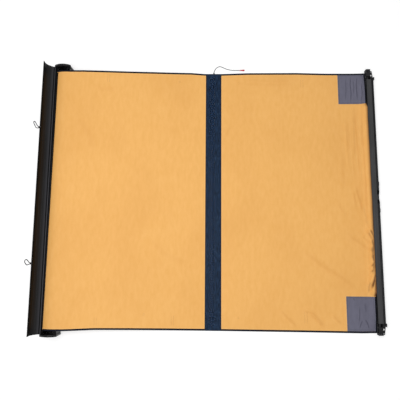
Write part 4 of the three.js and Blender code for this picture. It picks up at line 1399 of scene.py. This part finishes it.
def lid_outline():
    """The lid's section: an arched wall ribbed inside, a rolled tip and a bead that turns in the hinge."""
    hinge_angle = math.pi / 2 + LID_HALF_TURN
    tip_angle = math.pi / 2 - LID_HALF_TURN

    def meeting(radius, bead):
        cosine = (radius ** 2 + LID_RADIUS ** 2 - bead ** 2) / (2 * radius * LID_RADIUS)
        return math.acos(cosine)

    def on_arc(radius, angle):
        return (LID_CENTRE[0] + radius * math.cos(angle), LID_CENTRE[1] + radius * math.sin(angle))

    def round_bead(centre, bead, start, end, steps):
        first = math.atan2(start[1] - centre[1], start[0] - centre[0])
        last = math.atan2(end[1] - centre[1], end[0] - centre[0])
        while last > first:
            last -= 2 * math.pi
        angles = [first + (last - first) * i / steps for i in range(1, steps)]
        return [(centre[0] + bead * math.cos(turn), centre[1] + bead * math.sin(turn)) for turn in angles]

    outer, inner = LID_RADIUS + LID_WALL / 2, LID_RADIUS - LID_WALL / 2
    from_hinge, to_tip = hinge_angle - meeting(outer, LID_BEAD), tip_angle + meeting(outer, LID_TIP)
    steps = LID_STEPS["outside"]
    outside = [on_arc(outer, from_hinge + (to_tip - from_hinge) * i / steps) for i in range(steps + 1)]
    from_tip, to_hinge = tip_angle + meeting(inner, LID_TIP), hinge_angle - meeting(inner, LID_BEAD)
    inside = []
    for share in np.linspace(0, 1, LID_STEPS["inside"] + 1):
        rib = sum(math.exp(-(((share - place) / LID_RIB_WIDTH) ** 2)) for place in LID_RIBS)
        inside.append(on_arc(inner - LID_RIB_HEIGHT * rib, from_tip + (to_hinge - from_tip) * share))
    tip = round_bead((LID_CHORD, 0), LID_TIP, outside[-1], inside[0], LID_STEPS["tip"])
    bead = round_bead((0, 0), LID_BEAD, inside[-1], outside[0], LID_STEPS["bead"])
    return [*outside, *tip, *inside, *bead]


def lid_place(along, out):
    """A point of the lid's section as it stands open."""
    turn, rise = math.cos(LID_TURN), math.sin(LID_TURN)
    return (LID_HINGE[0] + along * turn - out * rise, LID_HINGE[1] + along * rise + out * turn)


def gasket_section():
    """The soft gasket on the lid's inner face, near the hinge, whose black also stands in for the shade in the gap
    there.
    """
    inner = LID_RADIUS - LID_WALL / 2
    shares = np.linspace(*LID_GASKET, 7)
    section = []
    for depth, run in zip(GASKET_FACES, (shares, shares[::-1])):
        radius = inner - depth
        for share in run:
            angle = math.pi / 2 + LID_HALF_TURN * (2 * share - 1)
            along = LID_CENTRE[0] + radius * math.cos(angle)
            section.append(lid_place(along, LID_CENTRE[1] + radius * math.sin(angle)))
    return section


def lid():
    """The lid's shell, its seal and its gasket."""
    low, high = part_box("lid_extrusion")
    outline = [lid_place(along, out) for along, out in lid_outline()]
    shell = extrude_along_y("lid_shell", outline, low.y, high.y, LID_METAL, 40)
    stand_for(shell, "lid", "anodised_black", "lid_extrusion")
    edged("lid_seal", RUBBER, "lid", "black_rubber", 0.8)
    y_from, y_to = low.y + GASKET_END, high.y - GASKET_END
    gasket = extrude_along_y("lid_gasket", gasket_section(), y_from, y_to, RUBBER, 40)
    stand_for(gasket, "lid", "black_rubber")


lid()


# Case, front bar and poles

# Screws, feet and plugs as (radius, distance along), and places, in millimetres
CAP_SCREW = (
    (0, -2.0), (2.2, -2.0), (2.2, 0), (3.0, 0), (3.0, 0.9), (2.4, 1.7), (1.5, 2.0), (1.4, 1.0), (0, 1.0),
)
CAP_SCREW_PLACE = (49.5, 1055.0, 7.25)
BRACKET_SCREW = (
    (0, -2.5), (2.4, -2.5), (2.4, 0), (4.2, 0), (4.2, 1.2), (3.4, 2.3), (2.1, 2.6), (2.0, 1.4), (0, 1.4),
)
BRACKET_SCREW_PLACE = (2486, 1021, 4.05)
FOOT = (
    (0, 0), (8.5, 0), (9.8, 0.5), (10.5, 1.4), (10.5, 4.0), (9.9, 4.6), (10.5, 5.2), (10.5, 7.6),
    (9.9, 8.2), (10.5, 8.8), (10.5, 13.0), (12, 14.4), (12, 31), (11, 32), (7.8, 32), (7.8, 14), (0, 14),
)
PLUG = (
    (0, 0), (5.5, 0), (7, 2), (7, 7), (6.3, 8), (6.3, 10), (7, 11), (7, 21.4), (9.2, 21.4), (9.8, 22.2),
    (9.8, 37), (9, 38), (7.8, 38), (7.8, 21.7), (0, 21.7),
)
# Each lock's radius, and the radii of the wider and the narrower tube that it joins, in millimetres
LOCKS = {"upper": (13.5, 11, 9.2), "lower": (12, 9.2, 7.5)}
LOCK_FLUTES = (18, 0.6)


def screw(name, head, place_mm, axis, body):
    """A steel screw, of which the head shows."""
    made = lathe(name, head, [value * MM for value in place_mm], axis, STEEL, 24)
    return stand_for(made, body, "bright_steel")


def case():
    """The case's extrusion, caps, screws and sockets for the arms, and the finish of both keder rods."""
    edged("case_extrusion", CASE_METAL, "case", "anodised_black", 0.5)
    x, y, z = CAP_SCREW_PLACE
    for side_name, side in SIDES.items():
        edged(f"end_cap_{side_name}", NYLON, "case", "black_nylon", 0.9)
        edged(f"arm_socket_{side_name}", NYLON, "case", "black_nylon", 0.8)
        for label, way in (("inner", -1), ("outer", 1)):
            name = f"cap_screw_{side_name}_{label}"
            screw(name, CAP_SCREW, (way * x, side * y, z), (0, side, 0), "case")
    for end in ("rear", "front"):
        fresh_finish(f"keder_{end}", RUBBER)


def front_bar():
    """The bar's extrusion and its end brackets, with their pins and screws."""
    edged("bar_extrusion", ANODISED, "front_bar", "anodised_black", 0.5)
    x, y, z = BRACKET_SCREW_PLACE
    for side_name, side in SIDES.items():
        edged(f"bar_bracket_{side_name}", NYLON, "front_bar", "black_nylon", 0.9)
        edged(f"leg_pin_{side_name}", BLACK_STEEL, "front_bar", "bright_steel", 0.4)
        edged(f"arm_pin_{side_name}", BLACK_STEEL, "front_bar", "bright_steel", 0.4)
        screw(f"bracket_screw_{side_name}", BRACKET_SCREW, (x, side * y, z), (0, 0, 1), "front_bar")


def lock_profile(radius, wide, narrow):
    """A twist lock's section from its neck, which holds the inner tube, to its grip on the wider one."""
    neck, grip = narrow + 0.3, wide + 0.3
    inside = [(neck, 0), (neck, 15.7), (grip, 15.7), (grip, 30)]
    upper_ring = [(radius - 0.6, 30), (radius, 29.2), (radius, 20)]
    groove = [(radius - 1.3, 18.6), (radius - 1.3, 17.4)]
    lower_ring = [(radius, 16), (radius, 2.2), (radius - 0.8, 0.5), (radius - 1.6, 0)]
    return [*inside, *upper_ring, *groove, *lower_ring]


def near_end(node, side):
    """Where a piece that points away from the middle starts."""
    low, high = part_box(node)
    return low.y if side > 0 else high.y


def poles():
    """Each leg and arm: three tubes, two fluted twist locks and its end."""
    kinds = (
        ("leg", "foot", FOOT, RUBBER, "black_rubber"),
        ("arm", "plug", PLUG, NYLON, "black_nylon"),
    )
    for kind, end, end_profile, end_finish, end_slot in kinds:
        for side_name, side in SIDES.items():
            pole = f"{kind}_{side_name}"
            axis = (0, side, 0)
            low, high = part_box(f"{pole}_inner")
            x, z = (low.x + high.x) / 2, (low.z + high.z) / 2
            for tube in ("outer", "middle", "inner"):
                fresh_finish(f"{pole}_{tube}", TUBE)
            place = (x, near_end(f"{pole}_{end}", side), z)
            tip = lathe(f"{pole}_{end}_turned", end_profile, place, axis, end_finish)
            stand_for(tip, f"{pole}_inner", end_slot, f"{pole}_{end}")
            for label, radii in LOCKS.items():
                node = f"{pole}_lock_{label}"
                place = (x, near_end(node, side), z)
                lock = lathe(f"{node}_fluted", lock_profile(*radii), place, axis, NYLON, 72, *LOCK_FLUTES)
                stand_for(lock, node, "black_nylon", node)


case()
front_bar()
poles()


# Studio

# Strengths of the light, and the lamp's size, place and aim in metres
WHITE = (1, 1, 1, 1)
DOME_LIGHT = 0.66
FLOOR_GLOW = 0.5
FLOOR_REACH = 30
FLOOR_DROP = 0.2 * MM
LAMP_WATTS = 76
LAMP_SIZE = (3.0, 2.4)
LAMP_PLACE = (0.2, -0.2, 3.7)
LAMP_AIM = (1.1, -0.1, 0)


def seen_directly(owner):
    """One for the camera's rays and those mirrored or let through, zero for the light that scatters."""
    rays = add_node(owner, "LightPath").outputs
    inputs = {0: rays["Is Camera Ray"], 1: rays["Is Glossy Ray"]}
    seen = add_node(owner, "Math", inputs, operation="MAXIMUM").outputs[0]
    inputs = {0: seen, 1: rays["Is Transmission Ray"]}
    return add_node(owner, "Math", inputs, operation="MAXIMUM").outputs[0]


def pale_floor():
    """A plain pale floor, just under the awning."""
    material, shader = new_material("painted_floor", "#C6C6C6", 0.9, 0.0, {"Specular IOR Level": 0.2})
    two_tones(material, shader, noise(material, (900, 900, 900), 2.0), 0.3, 0.7, "#C8C8C8", "#C4C4C4")
    shader.inputs["Emission Color"].default_value = WHITE
    glow = spread(material, seen_directly(material), 0, 1, 0, FLOOR_GLOW)
    link(material, glow, shader, "Emission Strength")
    mesh = bpy.data.meshes.new("floor")
    corners = [(x * FLOOR_REACH, y * FLOOR_REACH, 0) for x, y in ((-1, -1), (1, -1), (1, 1), (-1, 1))]
    mesh.from_pydata(corners, [], [(0, 1, 2, 3)])
    mesh.materials.append(material)
    floor = in_the_scene("floor", mesh)
    floor.location.z = -FLOOR_DROP


def even_light():
    """A white surround, that lights less than it shows."""
    world = bpy.data.worlds.new("studio")
    world.use_nodes = True
    background = world.node_tree.nodes["Background"]
    background.inputs["Color"].default_value = WHITE
    strength = spread(world, seen_directly(world), 0, 1, DOME_LIGHT, 1.0)
    link(world, strength, background, "Strength")
    bpy.context.scene.world = world


def soft_lamp():
    """A large soft lamp, high over the case and turned towards the canopy."""
    lamp = bpy.data.lights.new("soft_lamp", "AREA")
    lamp.shape = "RECTANGLE"
    lamp.size, lamp.size_y = LAMP_SIZE
    lamp.energy = LAMP_WATTS
    hung = in_the_scene("soft_lamp", lamp)
    hung.location = LAMP_PLACE
    aim = Vector(LAMP_AIM) - Vector(LAMP_PLACE)
    hung.rotation_euler = aim.to_track_quat("-Z", "Y").to_euler()


pale_floor()
even_light()
soft_lamp()
bpy.context.scene.view_settings.view_transform = "Standard"
